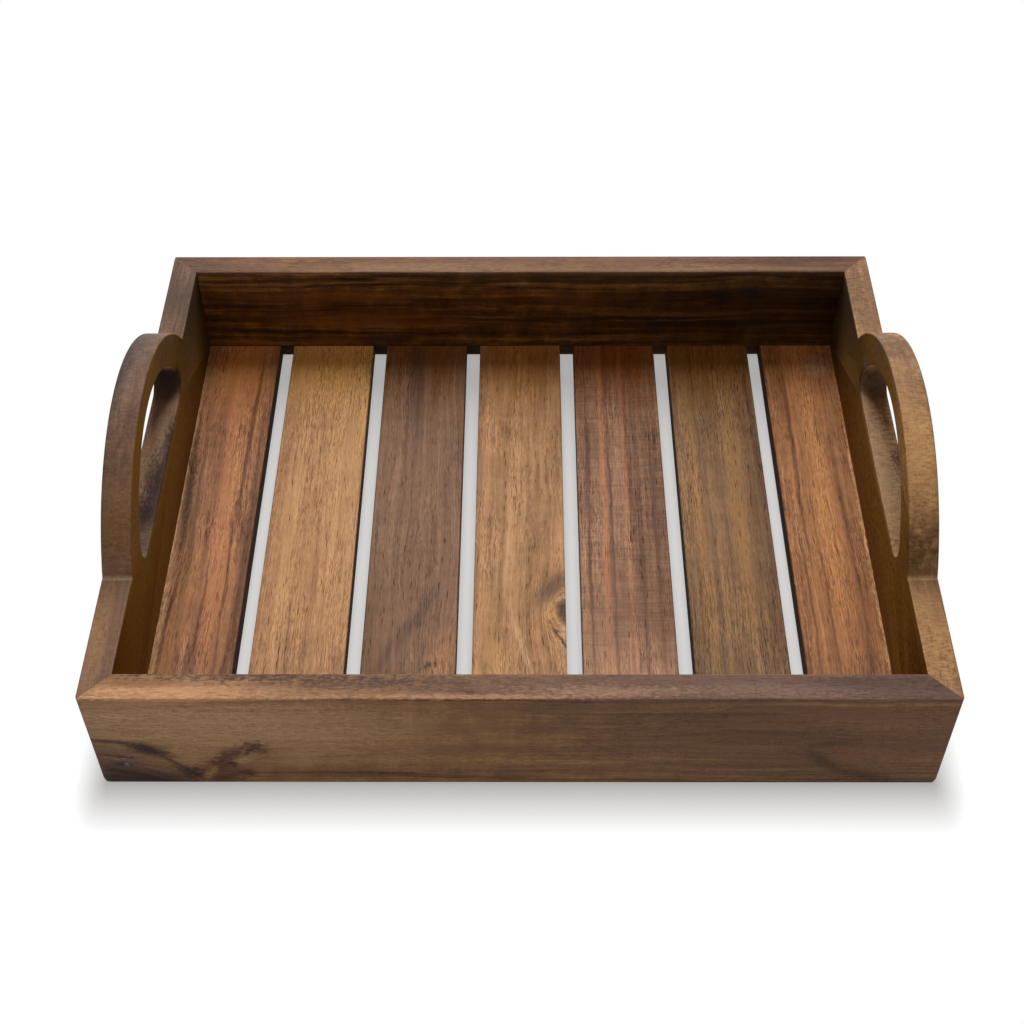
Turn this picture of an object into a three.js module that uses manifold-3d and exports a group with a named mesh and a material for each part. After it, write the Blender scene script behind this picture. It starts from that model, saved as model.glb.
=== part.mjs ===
// Slatted serving tray: four mitred boards round a deck of slats, with hand slots in the arched side boards.
// Millimetres, +Z up. The tray stands on Z = 0, centred on the Z axis, with its front towards -Y.

import * as THREE from 'three';
import { mergeVertices } from 'three/addons/utils/BufferGeometryUtils.js';
import Module from 'manifold-3d';

const wasm = await Module();
wasm.setup();

// Frame
const trayWidth = 356; // over the two handle boards
const trayDepth = 278; // over the front and back rails
const wallHeight = 61.5; // table to rim
const boardThickness = 13;
const cornerRadius = 2; // rounding of the four standing corners
const footEasing = 1.5; // rounding of the front and back edges at the table
const endEasing = 5.5; // rounding of the left and right edges at the table
const arris = 0.7; // easing of every other board edge
const glueLine = 0.3; // between the two faces of a mitre

// Arched handles and their D-shaped hand slots
const archSpan = 151.6; // along the rim
const archRise = 40; // crown above the rim
const gripHeight = 11.3; // wood over the slot at the crown
const slotFloorDrop = 13.6; // flat floor of the slot below the rim
const slotArcRadius = 65;
const slotCornerRadius = 7.5;

// Deck, held up in a rabbet round the foot of the frame
const rabbetDepth = 5.6;
const slatCount = 7;
const slatGap = 7.2;
const slatThickness = 10.4;
const slatRecess = 0.8; // underside of the slats above the table
const slatArris = 0.8;
const slatClearance = 0.4; // slat to the back of the rabbet

// Loose splines glued across the mitres
const splineWidth = 8; // across the joint
const splineThickness = 3;
const splineHeight = 30;
const splineFoot = 19; // lower end above the table
const splineClearance = 0.25;

// Headed brads, two through each slat end
const bradLength = 18;
const bradDiameter = 1.3;
const bradHeadDiameter = 2.2;
const bradHeadHeight = 0.7;
const bradPoint = 1.8; // length of the tapered point
const bradSink = 0.4; // head above the underside of the slat
const bradClearance = 0.2;
const bradInset = 9; // from the slat's long edge

// Number of straight steps in each round stretch
const arrisSteps = 2;
const cornerSteps = 4;
const archSteps = 40;
const slotArcSteps = 30;
const slotCornerSteps = 7;
const bradSides = 8;

// Sizes that follow from the ones above
const innerWidth = trayWidth - 2 * boardThickness;
const innerDepth = trayDepth - 2 * boardThickness;
const rabbetHeight = slatRecess + slatThickness;
const slatSeat = rabbetDepth - slatClearance; // how far a slat reaches under a board
const slatLength = innerDepth + 2 * slatSeat;
const slatWidth = (innerWidth + 2 * slatSeat - (slatCount - 1) * slatGap) / slatCount;
const slatPitch = slatWidth + slatGap;
const archRadius = (archSpan ** 2 / 4 + archRise ** 2) / (2 * archRise);
const archCentre = wallHeight + archRise - archRadius;
const slotCrown = wallHeight + archRise - gripHeight;
const slotCentre = slotCrown - slotArcRadius;
const slotFloor = wallHeight - slotFloorDrop;
const topOfTray = wallHeight + archRise;
const overrun = boardThickness; // how far cutters and uncut bars run past the wood

// Turning a three.js geometry into a solid that can be cut, and back
function solid(geometry) {
  const bare = geometry.clone();
  bare.deleteAttribute('normal');
  bare.deleteAttribute('uv');
  const merged = mergeVertices(bare);
  const vertProperties = Float32Array.from(merged.attributes.position.array);
  const triVerts = Uint32Array.from(merged.index.array);
  return new wasm.Manifold(new wasm.Mesh({ numProp: 3, vertProperties, triVerts }));
}

function geometryOf(body) {
  const { vertProperties, triVerts } = body.getMesh();
  const geometry = new THREE.BufferGeometry();
  geometry.setAttribute('position', new THREE.BufferAttribute(vertProperties, 3));
  geometry.setIndex(new THREE.BufferAttribute(triVerts, 1));
  geometry.computeVertexNormals();
  return geometry;
}

function cutAll(body, cutters) {
  return cutters.reduce((left, cutter) => left.subtract(cutter), body);
}

// Outlines
function arc(x, y, radius, from, to, steps) {
  return new THREE.EllipseCurve(x, y, radius, radius, from, to, to < from).getPoints(steps);
}

// A closed outline whose corners, given as [x, y, radius], are eased by their own radius.
function easedOutline(corners, steps) {
  const places = corners.map(([x, y]) => new THREE.Vector2(x, y));
  const points = corners.flatMap(([, , radius], i) => {
    const corner = places[i];
    if (!radius) return [corner];
    const back = places.at(i - 1).clone().sub(corner).normalize();
    const on = places[(i + 1) % places.length].clone().sub(corner).normalize();
    const reach = radius / Math.tan(Math.acos(back.dot(on)) / 2);
    const start = corner.clone().addScaledVector(back, reach);
    const end = corner.clone().addScaledVector(on, reach);
    return new THREE.QuadraticBezierCurve(start, corner, end).getPoints(steps);
  });
  return new THREE.Shape(points);
}

function rectangle(halfX, halfY, radius = 0) {
  return [[-halfX, -halfY, radius], [halfX, -halfY, radius], [halfX, halfY, radius], [-halfX, halfY, radius]];
}

// An outline drawn in Y and Z, carried along X from one place to another
function alongX(shape, from, to, easing = 0) {
  const geometry = new THREE.ExtrudeGeometry(shape, {
    depth: to - from - 2 * easing,
    bevelEnabled: easing > 0,
    bevelThickness: easing,
    bevelSize: easing,
    bevelOffset: -easing,
    bevelSegments: arrisSteps,
    steps: 1,
  });
  return geometry.rotateX(Math.PI / 2).rotateZ(Math.PI / 2).translate(from + easing, 0, 0);
}

// An outline drawn in X and Y, carried up Z from one height to another
function upZ(shape, from, to) {
  const geometry = new THREE.ExtrudeGeometry(shape, { depth: to - from, bevelEnabled: false, steps: 1 });
  return geometry.translate(0, 0, from);
}

// The frame seen square on from one side: straight, with its lower corners rounded over
function footOutline(across, easing) {
  const half = across / 2;
  const top = topOfTray + overrun;
  return easedOutline([[-half, 0, easing], [half, 0, easing], [half, top, 0], [-half, top, 0]], cornerSteps);
}

// What keeps the boards to the frame's rounded standing corners and its rounded foot
function frameEnvelope() {
  const plan = easedOutline(rectangle(trayWidth / 2, trayDepth / 2, cornerRadius), cornerSteps);
  const frontToBack = alongX(footOutline(trayDepth, footEasing), -trayWidth, trayWidth);
  const sideToSide = alongX(footOutline(trayWidth, endEasing), -trayDepth, trayDepth).rotateZ(Math.PI / 2);
  const column = solid(upZ(plan, -overrun, topOfTray + overrun));
  return column.intersect(solid(frontToBack)).intersect(solid(sideToSide));
}

// The wedge of the plan that a board lying along X on the -Y side keeps between its two mitre planes
function mitreWedge(length, depth) {
  const outerY = -depth / 2 - overrun;
  const innerY = -depth / 2 + boardThickness + overrun;
  const outerX = length / 2 - glueLine / Math.SQRT2 + overrun;
  const innerX = outerX - (innerY - outerY);
  const plan = easedOutline([[-outerX, outerY], [outerX, outerY], [innerX, innerY], [-innerX, innerY]], 1);
  return upZ(plan, -overrun, topOfTray + overrun);
}

// Splines and their slots: a round-edged tongue that stands across the mitre
const mitreX = (trayWidth - boardThickness) / 2;
const mitreY = (trayDepth - boardThickness) / 2;
const corners = [
  { name: 'front_left', x: -mitreX, y: -mitreY, turn: -Math.PI / 4 },
  { name: 'front_right', x: mitreX, y: -mitreY, turn: Math.PI / 4 },
  { name: 'back_left', x: -mitreX, y: mitreY, turn: Math.PI / 4 },
  { name: 'back_right', x: mitreX, y: mitreY, turn: -Math.PI / 4 },
];

function splineGeometry(clearance) {
  const round = splineThickness / 2 + clearance;
  const reach = splineHeight / 2 - splineThickness / 2;
  const top = arc(0, reach, round, 0, Math.PI, cornerSteps);
  const bottom = arc(0, -reach, round, Math.PI, 2 * Math.PI, cornerSteps);
  const halfWidth = splineWidth / 2 + clearance;
  const geometry = alongX(new THREE.Shape([...top, ...bottom]), -halfWidth, halfWidth);
  return geometry.translate(0, 0, splineFoot + splineHeight / 2);
}

function splineSlots() {
  const slot = splineGeometry(splineClearance);
  return corners.map(({ x, y, turn }) => solid(slot.clone().rotateZ(turn).translate(x, y, 0)));
}

// Brads and the holes that they are driven into
const slatPlaces = Array.from({ length: slatCount }, (_, i) => (i - (slatCount - 1) / 2) * slatPitch);
const bradAcross = slatWidth / 2 - bradInset; // from the middle of a slat
const bradAlong = innerDepth / 2 + slatSeat / 2; // middle of the seat under a rail
const bradFoot = slatRecess + bradSink;
const bradPlaces = slatPlaces.flatMap((x) => [x - bradAcross, x + bradAcross]);

function turned(profile) {
  const points = profile.map(([radius, height]) => new THREE.Vector2(radius, height));
  return new THREE.LatheGeometry(points, bradSides).rotateX(Math.PI / 2);
}

function bradGeometry() {
  const shank = bradDiameter / 2;
  const head = bradHeadDiameter / 2;
  return turned([
    [0, 0],
    [head, 0],
    [head, bradHeadHeight],
    [shank, bradHeadHeight],
    [shank, bradLength - bradPoint],
    [0, bradLength],
  ]);
}

function bradHole() {
  const shank = bradDiameter / 2 + bradClearance;
  const head = bradHeadDiameter / 2 + bradClearance;
  const shoulder = bradHeadHeight + bradClearance;
  const foot = -bradSink - overrun;
  const end = bradLength + bradClearance;
  return turned([[0, foot], [head, foot], [head, shoulder], [shank, shoulder], [shank, end], [0, end]]);
}

// Front and back rails: a rabbeted section run between two mitres
function railGeometry() {
  const outer = -trayDepth / 2;
  const inner = outer + boardThickness;
  const section = easedOutline([
    [outer, 0, 0],
    [inner - rabbetDepth, 0, 0],
    [inner - rabbetDepth, rabbetHeight, 0],
    [inner, rabbetHeight, arris / 2],
    [inner, wallHeight, arris],
    [outer, wallHeight, arris],
  ], arrisSteps);
  const bar = solid(alongX(section, -trayWidth / 2 - overrun, trayWidth / 2 + overrun));
  const mitred = bar.intersect(solid(mitreWedge(trayWidth, trayDepth))).intersect(frameEnvelope());
  const holes = bradPlaces.map((x) => solid(bradHole().translate(x, -bradAlong, bradFoot)));
  return geometryOf(cutAll(mitred, [...splineSlots(), ...holes]));
}

// Handle boards: an arched outline with a D-shaped slot, eased all round, then rabbeted and mitred
function handSlot() {
  const cornerHeight = slotFloor + slotCornerRadius;
  const cornerReach = slotArcRadius - slotCornerRadius;
  const cornerY = Math.sqrt(cornerReach ** 2 - (cornerHeight - slotCentre) ** 2);
  const lean = Math.atan2(cornerHeight - slotCentre, cornerY);
  const crown = arc(0, slotCentre, slotArcRadius, lean, Math.PI - lean, slotArcSteps);
  const back = arc(cornerY, cornerHeight, slotCornerRadius, -Math.PI / 2, lean, slotCornerSteps);
  const front = arc(-cornerY, cornerHeight, slotCornerRadius, Math.PI - lean, 1.5 * Math.PI, slotCornerSteps);
  return new THREE.Path([...back, ...crown.slice(1), ...front.slice(1)]);
}

function handleGeometry() {
  const end = trayDepth / 2 + overrun;
  const shoulder = Math.acos(archSpan / 2 / archRadius);
  const arch = arc(0, archCentre, archRadius, shoulder, Math.PI - shoulder, archSteps);
  const foot = [new THREE.Vector2(-end, 0), new THREE.Vector2(end, 0)];
  const rim = [new THREE.Vector2(end, wallHeight), ...arch, new THREE.Vector2(-end, wallHeight)];
  const profile = new THREE.Shape([...foot, ...rim]);
  profile.holes.push(handSlot());
  const outer = -trayWidth / 2;
  const board = solid(alongX(profile, outer, outer + boardThickness, arris));
  const wedge = solid(mitreWedge(trayDepth, trayWidth).rotateZ(-Math.PI / 2));
  const rabbetBar = upZ(easedOutline(rectangle(rabbetDepth, end), 1), -overrun, rabbetHeight);
  const rabbet = solid(rabbetBar.translate(outer + boardThickness, 0, 0));
  const mitred = board.intersect(wedge).intersect(frameEnvelope()).subtract(rabbet);
  return geometryOf(cutAll(mitred, splineSlots()));
}

// Slats: one eased plank with a brad hole near each corner
function slatGeometry() {
  const plan = easedOutline(rectangle(slatWidth / 2, slatLength / 2), 1);
  const plank = new THREE.ExtrudeGeometry(plan, {
    depth: slatThickness - 2 * slatArris,
    bevelThickness: slatArris,
    bevelSize: slatArris,
    bevelOffset: -slatArris,
    bevelSegments: arrisSteps,
    steps: 1,
  }).translate(0, 0, slatRecess + slatArris);
  const holes = [-bradAcross, bradAcross].flatMap((x) =>
    [-bradAlong, bradAlong].map((y) => solid(bradHole().translate(x, y, bradFoot))));
  return geometryOf(cutAll(solid(plank), holes));
}

// Finishes
const oiledAcacia = {
  front_rail: 0x624834,
  back_rail: 0x5d4330,
  left_handle_board: 0x634a38,
  right_handle_board: 0x8d6845,
  slat_1: 0x865d41,
  slat_2: 0xa97f5a,
  slat_3: 0x7b5d4b,
  slat_4: 0x9c7555,
  slat_5: 0x84614b,
  slat_6: 0x7a5d45,
  slat_7: 0x8c6142,
};
const splineWood = 0xb08a5a;
const brightSteel = 0xa9abae;

const tray = new THREE.Group();

function place(name, geometry, finish, x = 0, y = 0, z = 0, turn = 0) {
  const mesh = new THREE.Mesh(geometry, new THREE.MeshStandardMaterial(finish));
  mesh.name = name;
  mesh.position.set(x, y, z);
  mesh.rotation.z = turn;
  tray.add(mesh);
}

function wood(color) {
  return { color, roughness: 0.55, metalness: 0 };
}

const rail = railGeometry();
place('front_rail', rail, wood(oiledAcacia.front_rail));
place('back_rail', rail, wood(oiledAcacia.back_rail), 0, 0, 0, Math.PI);

const handleBoard = handleGeometry();
place('left_handle_board', handleBoard, wood(oiledAcacia.left_handle_board));
place('right_handle_board', handleBoard, wood(oiledAcacia.right_handle_board), 0, 0, 0, Math.PI);

const slat = slatGeometry();
slatPlaces.forEach((x, i) => {
  const name = `slat_${i + 1}`;
  place(name, slat, wood(oiledAcacia[name] ?? oiledAcacia.slat_1), x);
});

const spline = splineGeometry(0);
corners.forEach(({ name, x, y, turn }) => {
  place(`corner_spline_${name}`, spline, wood(splineWood), x, y, 0, turn);
});

const brad = bradGeometry();
const steel = { color: brightSteel, roughness: 0.35, metalness: 1 };
bradPlaces.forEach((x, i) => {
  place(`brad_front_${i + 1}`, brad, steel, x, -bradAlong, bradFoot);
  place(`brad_back_${i + 1}`, brad, steel, x, bradAlong, bradFoot);
});

export default tray;
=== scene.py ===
# %% [markdown]
# # A slatted serving tray in oiled acacia
# The tray is four mitred boards round a deck of seven slats. The two side boards rise into arches with
# D-shaped hand slots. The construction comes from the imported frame: it gives every board's size and place,
# and this lesson makes the fine meshes and the oiled wood that go over it. Lengths are written in
# millimetres and turned to metres, Blender's unit, by one factor.

# %% Load the frame
from math import acos, atan2, cos, pi, radians, sin, sqrt

import bmesh
import bpy
from mathutils import Euler, Matrix, Vector


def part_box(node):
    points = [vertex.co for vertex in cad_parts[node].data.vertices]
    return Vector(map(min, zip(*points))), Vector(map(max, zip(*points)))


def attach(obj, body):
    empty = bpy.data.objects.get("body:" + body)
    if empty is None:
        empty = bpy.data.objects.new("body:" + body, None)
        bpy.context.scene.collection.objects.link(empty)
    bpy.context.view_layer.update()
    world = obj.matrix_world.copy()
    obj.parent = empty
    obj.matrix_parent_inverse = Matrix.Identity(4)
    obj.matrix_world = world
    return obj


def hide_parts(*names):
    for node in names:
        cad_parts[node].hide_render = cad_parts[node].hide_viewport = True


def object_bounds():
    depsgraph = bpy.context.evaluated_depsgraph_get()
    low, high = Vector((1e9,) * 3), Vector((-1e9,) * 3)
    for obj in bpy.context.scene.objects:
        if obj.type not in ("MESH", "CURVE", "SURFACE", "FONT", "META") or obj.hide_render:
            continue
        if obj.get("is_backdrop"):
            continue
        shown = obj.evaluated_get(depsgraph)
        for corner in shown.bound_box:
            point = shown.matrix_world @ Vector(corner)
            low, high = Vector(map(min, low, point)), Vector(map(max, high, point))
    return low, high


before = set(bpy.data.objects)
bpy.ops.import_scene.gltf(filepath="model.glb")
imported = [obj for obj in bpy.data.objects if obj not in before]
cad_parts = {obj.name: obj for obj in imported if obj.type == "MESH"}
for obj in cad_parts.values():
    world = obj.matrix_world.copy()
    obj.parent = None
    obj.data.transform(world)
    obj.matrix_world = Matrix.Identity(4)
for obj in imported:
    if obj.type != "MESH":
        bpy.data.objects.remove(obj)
cad_low, cad_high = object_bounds()
scene = bpy.context.scene
scene.view_settings.view_transform = "Standard"
MM = 0.001
cad_size = [round(side / MM, 1) for side in cad_high - cad_low]
print("frame:", len(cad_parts), "nodes, box in mm", cad_size)

# %% [markdown]
# ## Sizes
# A board's box says how long, thick and high it is, so those sizes are read from the frame and not typed
# again. Only what a box can't tell is written here: the arch, the slot, the rabbet and the eased edges.

# %% Sizes in millimetres


def box_mm(node):
    """The lowest and highest corner of a CAD node, in millimetres."""
    low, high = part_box(node)
    return low / MM, high / MM


rail_low, rail_high = box_mm("front_rail")
handle_low, handle_high = box_mm("left_handle_board")
slat_names = sorted(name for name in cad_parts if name.startswith("slat_"))
brad_names = sorted(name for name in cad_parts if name.startswith("brad_"))
spline_names = sorted(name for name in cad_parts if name.startswith("corner_spline_"))
slat_boxes = [box_mm(name) for name in slat_names]
slat_middles = [(low + high) / 2 for low, high in slat_boxes]
slat_size = slat_boxes[0][1] - slat_boxes[0][0]

tray_width = -2 * handle_low.x
tray_depth = -2 * rail_low.y
thickness = rail_high.y - rail_low.y
wall_height = rail_high.z
crown_height = handle_high.z
deck_top = slat_boxes[0][1].z

arris = 0.7
foot_easing = 1.5
end_easing = 5.5
slat_arris = 0.8
corner_radius = 2.0
rabbet_depth = 5.6
glue_line = 0.06
arch_span = 151.6
grip_height = 11.3
slot_floor_drop = 13.6
slot_radius = 65.0
slot_corner = 7.5
print(f"tray {tray_width:.1f} x {tray_depth:.1f} mm, boards {thickness:.1f} mm, deck at {deck_top:.1f} mm")

# %% [markdown]
# ## Camera
# The picture looks down on the tray from the front. The camera's place, its pitch and its lens were worked
# out from the straight edges of the tray, so the render has the same perspective. A tiny heading and roll
# are left in, because a camera on a stand is never quite square to the table.

# %% Camera
eye = Vector((1.7, -509.8, 587.4)) * MM
pitch_down = radians(48.11)
heading = radians(0.60)
roll = radians(-0.46)

lens = bpy.data.cameras.new("camera")
lens.sensor_width = 36.0
lens.lens = 56.26
camera = bpy.data.objects.new("camera", lens)
scene.collection.objects.link(camera)
aim = Euler((pi / 2 - pitch_down, 0, heading)).to_matrix() @ Matrix.Rotation(roll, 3, "Z")
camera.matrix_world = Matrix.Translation(eye) @ aim.to_4x4()
scene.camera = camera
print("camera", round(eye.length / MM), "mm from the tray, lens", lens.lens, "mm")

# %% [markdown]
# ## One helper for every node
# Shaders and Geometry Nodes are both graphs of nodes. Written out in full, each node takes a line to make,
# one for every setting and one for every link. This one function does all three, for any kind of node, and
# hands back the output that the next node needs. Colours are written as sRGB hex, the way a colour picker
# shows them, and one function turns them into the linear light that the shaders add and multiply.

# %% Node and colour helpers


def add_node(tree, kind, inputs=None, out=0, **settings):
    """Adds a node, sets its fields, fills or links its inputs, and gives back one of its outputs."""
    node = tree.nodes.new(kind)
    for field, value in settings.items():
        setattr(node, field, value)
    for socket, value in (inputs or {}).items():
        if isinstance(value, bpy.types.NodeSocket):
            tree.links.new(value, node.inputs[socket])
        else:
            node.inputs[socket].default_value = value
    return node.outputs[out] if len(node.outputs) else node


def linear(tone):
    """An sRGB hex colour as linear red, green, blue and alpha."""
    shares = [int(tone[i:i + 2], 16) / 255 for i in (1, 3, 5)]
    light = [s / 12.92 if s <= 0.04045 else ((s + 0.055) / 1.055) ** 2.4 for s in shares]
    return (*light, 1.0)


print("mid grey #808080 is", round(linear("#808080")[0], 3), "in linear light")

# %% [markdown]
# ## Stage
# The tray stands on pale matt paper that runs out to white. Close to the tray the paper is lit like
# everything else, so it keeps the shadow, but the camera, mirrors and glass see some plain white mixed into
# it there, which lightens that shadow. Further out they see only plain white, whatever the lamps do there.
# Three softboxes light the tray. The key is large and high behind it: it leaves the back wall dark, lights
# the deck and makes the oil shine a little towards the camera. A weaker one overhead softens the shadow at
# the back of the deck. A low strip in front lights the front rail, which the other two miss. A weak even
# world fills what is left.

# %% Paper floor, world and softboxes
paper_tone = "#b4b4b4"
shadow_reach = 24.0
shadow_lift = 0.37
side_fade = 2.0
floor_half = 4000.0
fill_strength = 0.06
fill_tone = "#e0b48c"


def seen_directly(tree):
    """1 for rays sent by the camera, a mirror or glass, and 0 for rays that only gather light."""
    path = add_node(tree, "ShaderNodeLightPath").node.outputs
    shiny = add_node(
        tree, "ShaderNodeMath",
        {0: path["Is Glossy Ray"], 1: path["Is Transmission Ray"]}, operation="MAXIMUM",
    )
    return add_node(tree, "ShaderNodeMath", {0: path["Is Camera Ray"], 1: shiny}, operation="MAXIMUM")


def matt_paper():
    """Matt white paper: an even pale surface with no shine, which fades to plain white off the tray."""
    paper = bpy.data.materials.new("matt white paper")
    paper.use_nodes = True
    tree = paper.node_tree
    tree.nodes.clear()
    half = (tray_width / 2 * MM, tray_depth / 2 * MM, 1.0)
    place = add_node(tree, "ShaderNodeTexCoord", out="Object")
    folded = add_node(tree, "ShaderNodeVectorMath", {0: place}, operation="ABSOLUTE")
    outside = add_node(tree, "ShaderNodeVectorMath", {0: folded, 1: half}, operation="SUBTRACT")
    clear = add_node(tree, "ShaderNodeVectorMath", {0: outside, 1: (0, 0, 0)}, operation="MAXIMUM")
    drawn = add_node(tree, "ShaderNodeVectorMath", {0: clear, 1: (side_fade, 1, 1)}, operation="MULTIPLY")
    away = add_node(tree, "ShaderNodeVectorMath", {0: drawn}, out="Value", operation="LENGTH")
    far = add_node(
        tree, "ShaderNodeMapRange", {"Value": away, "From Max": shadow_reach * MM, "To Min": shadow_lift},
    )
    share = add_node(tree, "ShaderNodeMath", {0: far, 1: seen_directly(tree)}, operation="MULTIPLY")
    lit = add_node(tree, "ShaderNodeBsdfDiffuse", {"Color": linear(paper_tone)})
    white = add_node(tree, "ShaderNodeEmission", {"Color": (1, 1, 1, 1), "Strength": 1.0})
    both = add_node(tree, "ShaderNodeMixShader", {0: share, 1: lit, 2: white})
    add_node(tree, "ShaderNodeOutputMaterial", {"Surface": both})
    return paper


sheet = bpy.data.meshes.new("paper_floor")
reach = floor_half * MM
paper_corners = [(-reach, -reach, 0), (reach, -reach, 0), (reach, reach, 0), (-reach, reach, 0)]
sheet.from_pydata(paper_corners, [], [(0, 1, 2, 3)])
sheet.materials.append(matt_paper())
floor = bpy.data.objects.new("paper_floor", sheet)
scene.collection.objects.link(floor)
floor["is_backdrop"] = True

world = bpy.data.worlds.new("studio")
world.use_nodes = True
sky_tree = world.node_tree
sky_tree.nodes.clear()
fill = add_node(sky_tree, "ShaderNodeBackground", {"Color": linear(fill_tone), "Strength": fill_strength})
backdrop = add_node(sky_tree, "ShaderNodeBackground", {"Color": (1, 1, 1, 1), "Strength": 1.0})
sky = add_node(sky_tree, "ShaderNodeMixShader", {0: seen_directly(sky_tree), 1: fill, 2: backdrop})
add_node(sky_tree, "ShaderNodeOutputWorld", {"Surface": sky})
scene.world = world

lamp_distance = 1500.0


def softbox(name, from_zenith, wide, deep, watts, tone="#ffffff"):
    """A rectangular lamp that looks at the tray, tipped from straight overhead towards the back."""
    lamp = bpy.data.lights.new(name, "AREA")
    lamp.shape = "RECTANGLE"
    lamp.size = wide * MM
    lamp.size_y = deep * MM
    lamp.energy = watts
    lamp.color = linear(tone)[:3]
    holder = bpy.data.objects.new(name, lamp)
    tip = radians(from_zenith)
    holder.rotation_euler = (-tip, 0, 0)
    holder.location = Vector((0, sin(tip), cos(tip))) * lamp_distance * MM
    holder.visible_camera = False
    scene.collection.objects.link(holder)
    return lamp


key = softbox("key softbox", from_zenith=44, wide=700, deep=1400, watts=33.0)
overhead = softbox("overhead softbox", from_zenith=-14, wide=1000, deep=800, watts=4.7, tone="#f0dcc6")
strip = softbox("front strip", from_zenith=-87, wide=1800, deep=150, watts=8.0)
print("stage: paper floor, lamps", [(lamp.name, lamp.energy) for lamp in (key, overhead, strip)])

# %% [markdown]
# ## Oiled acacia
# Acacia is a dense brown hardwood with long soft streaks, short dark pores and a golden to purple heartwood.
# A coat of oil, wiped thin, deepens the colour and leaves a satin sheen. The wood is worked out in three
# dimensions from where a point lies in its board, so the grain on a face runs on over the edge and turns to
# dots on end grain, as in real timber. A picture of wood wrapped round the board would break at every edge.
# Each board has its own place in the noise, its own three tones, and a few patches of other tone where the
# eye finds a streak, sapwood or a stain, and others that paint light and shade onto the wood.

# %% Grain sizes, as (length along the grain, width across it) in millimetres
wander_cell = (95.0, 40.0)
ripple_cell = (14.0, 6.0)
ripple = 0.8
layer_cells = {
    "figure": (240.0, 13.0),
    "streak": (90.0, 2.6),
    "mottle": (9.0, 12.0),
    "curl": (1.3, 16.0),
    "line": (26.0, 0.5),
    "fleck": (3.6, 0.42),
    "ragged": (2.6, 1.1),
    "calm": (50.0, 12.0),
    "worm": (1.1, 3.2),
}
tone_weights = {"figure": 0.9, "streak": 0.8, "mottle": 0.35, "curl": 0.1}
grain_weights = {"line": 0.9, "fleck": 0.9}
# Real pores are about 0.2 mm wide. They are drawn twice as wide, or they would vanish between pixels.
pore_cell = (14.0, 1.2)
pore_tone = "#84695a"
noise_detail = 2.0
noise_roughness = 0.55
# How far apart two boards, and two layers of one board, lie in the noise.
board_stride = (17.31, 29.17, 11.71)
layer_stride = (5.77, 3.13, 7.91)
# A knot goes right through its board, so its half size into the board has no end.
through_board = 1e6


def cell_scale(cell):
    """What turns millimetres in the board into steps of a noise whose cells have this length and width."""
    return (1 / cell[0], 1 / cell[1], 1 / cell[1])


def seed_place(seed, layer):
    """A place of its own in the noise for each board and layer."""
    return tuple(seed * far + layer * near for far, near in zip(board_stride, layer_stride))


print("grain layers:", layer_cells)

# %% [markdown]
# ### Grain that flows
# The board's axes are put in the order along, across and into the board. A slow noise then pushes the lines
# sideways by a millimetre or two, so that no streak is ruler straight, and a quick one slants the short
# dashes. Round a knot the lines part like water round a stone: the sideways push is the one of an ideal
# flow past a cylinder.

# %% The flow of the grain
ripple_shift = 50


def bend(tree, place, flow, cell, number, amount):
    """The flow pushed sideways by up to this many millimetres, with a noise of this cell."""
    inputs = {"Vector": place, "Location": seed_place(number, 0), "Scale": cell_scale(cell)}
    drift_place = add_node(tree, "ShaderNodeMapping", inputs)
    inputs = {"Vector": drift_place, "Scale": 1.0, "Detail": noise_detail}
    drift = add_node(tree, "ShaderNodeTexNoise", inputs, out="Color")
    inputs = {0: drift, 1: (0.5, 0.5, 0.5)}
    centred = add_node(tree, "ShaderNodeVectorMath", inputs, operation="SUBTRACT")
    inputs = {0: centred, 1: (0, 2 * amount, 2 * amount), 2: flow}
    return add_node(tree, "ShaderNodeVectorMath", inputs, operation="MULTIPLY_ADD")


def grain_flow(tree, axes, centre, seed, wander, knots):
    """Board coordinates in millimetres, bent as the fibres bend. Gives the straight ones too."""
    place = add_node(tree, "ShaderNodeTexCoord", out="Object")
    shift = [-value for value in centre]
    inputs = {0: place, 1: (1 / MM, 1 / MM, 1 / MM), 2: shift}
    in_mm = add_node(tree, "ShaderNodeVectorMath", inputs, operation="MULTIPLY_ADD")
    sides = add_node(tree, "ShaderNodeSeparateXYZ", {0: in_mm}).node.outputs
    straight = add_node(tree, "ShaderNodeCombineXYZ", {i: sides[axis] for i, axis in enumerate(axes)})
    flow = bend(tree, straight, straight, wander_cell, seed, wander)
    flow = bend(tree, straight, flow, ripple_cell, seed + ripple_shift, ripple)
    for middle, size, _, _ in knots:
        inputs = {"Vector": straight, "Location": (*middle, 0), "Scale": (*size, through_board)}
        local = add_node(tree, "ShaderNodeMapping", inputs, vector_type="TEXTURE")
        inputs = {0: local, 1: local}
        square = add_node(tree, "ShaderNodeVectorMath", inputs, "Value", operation="DOT_PRODUCT")
        least = add_node(tree, "ShaderNodeMath", {0: square, 1: 1.0}, operation="MAXIMUM")
        share = add_node(tree, "ShaderNodeMath", {0: -size[1], 1: least}, operation="DIVIDE")
        push = add_node(tree, "ShaderNodeVectorMath", {0: local, "Scale": share}, operation="SCALE")
        inputs = {0: push, 1: (0, 1, 0), 2: flow}
        flow = add_node(tree, "ShaderNodeVectorMath", inputs, operation="MULTIPLY_ADD")
    return straight, flow


print("grain wanders in cells of", wander_cell, "mm and ripples in cells of", ripple_cell, "mm")

# %% [markdown]
# ### Tone
# Four noises make the board's own tone: the broad figure of the log, streaks of a few millimetres, a mottle
# and a curl of thin ripples across the grain. Their sum runs through a ramp from the board's dark to its
# light tone. Finer noises, thin lines, the short flecks of the fibres and on some boards worm-like ripples,
# are kept back: they darken and lighten whatever lies under them, so that a stain has grain too. The calm
# noise says where that fine grain is strong or weak, and the ragged one only frays the stains.

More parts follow.
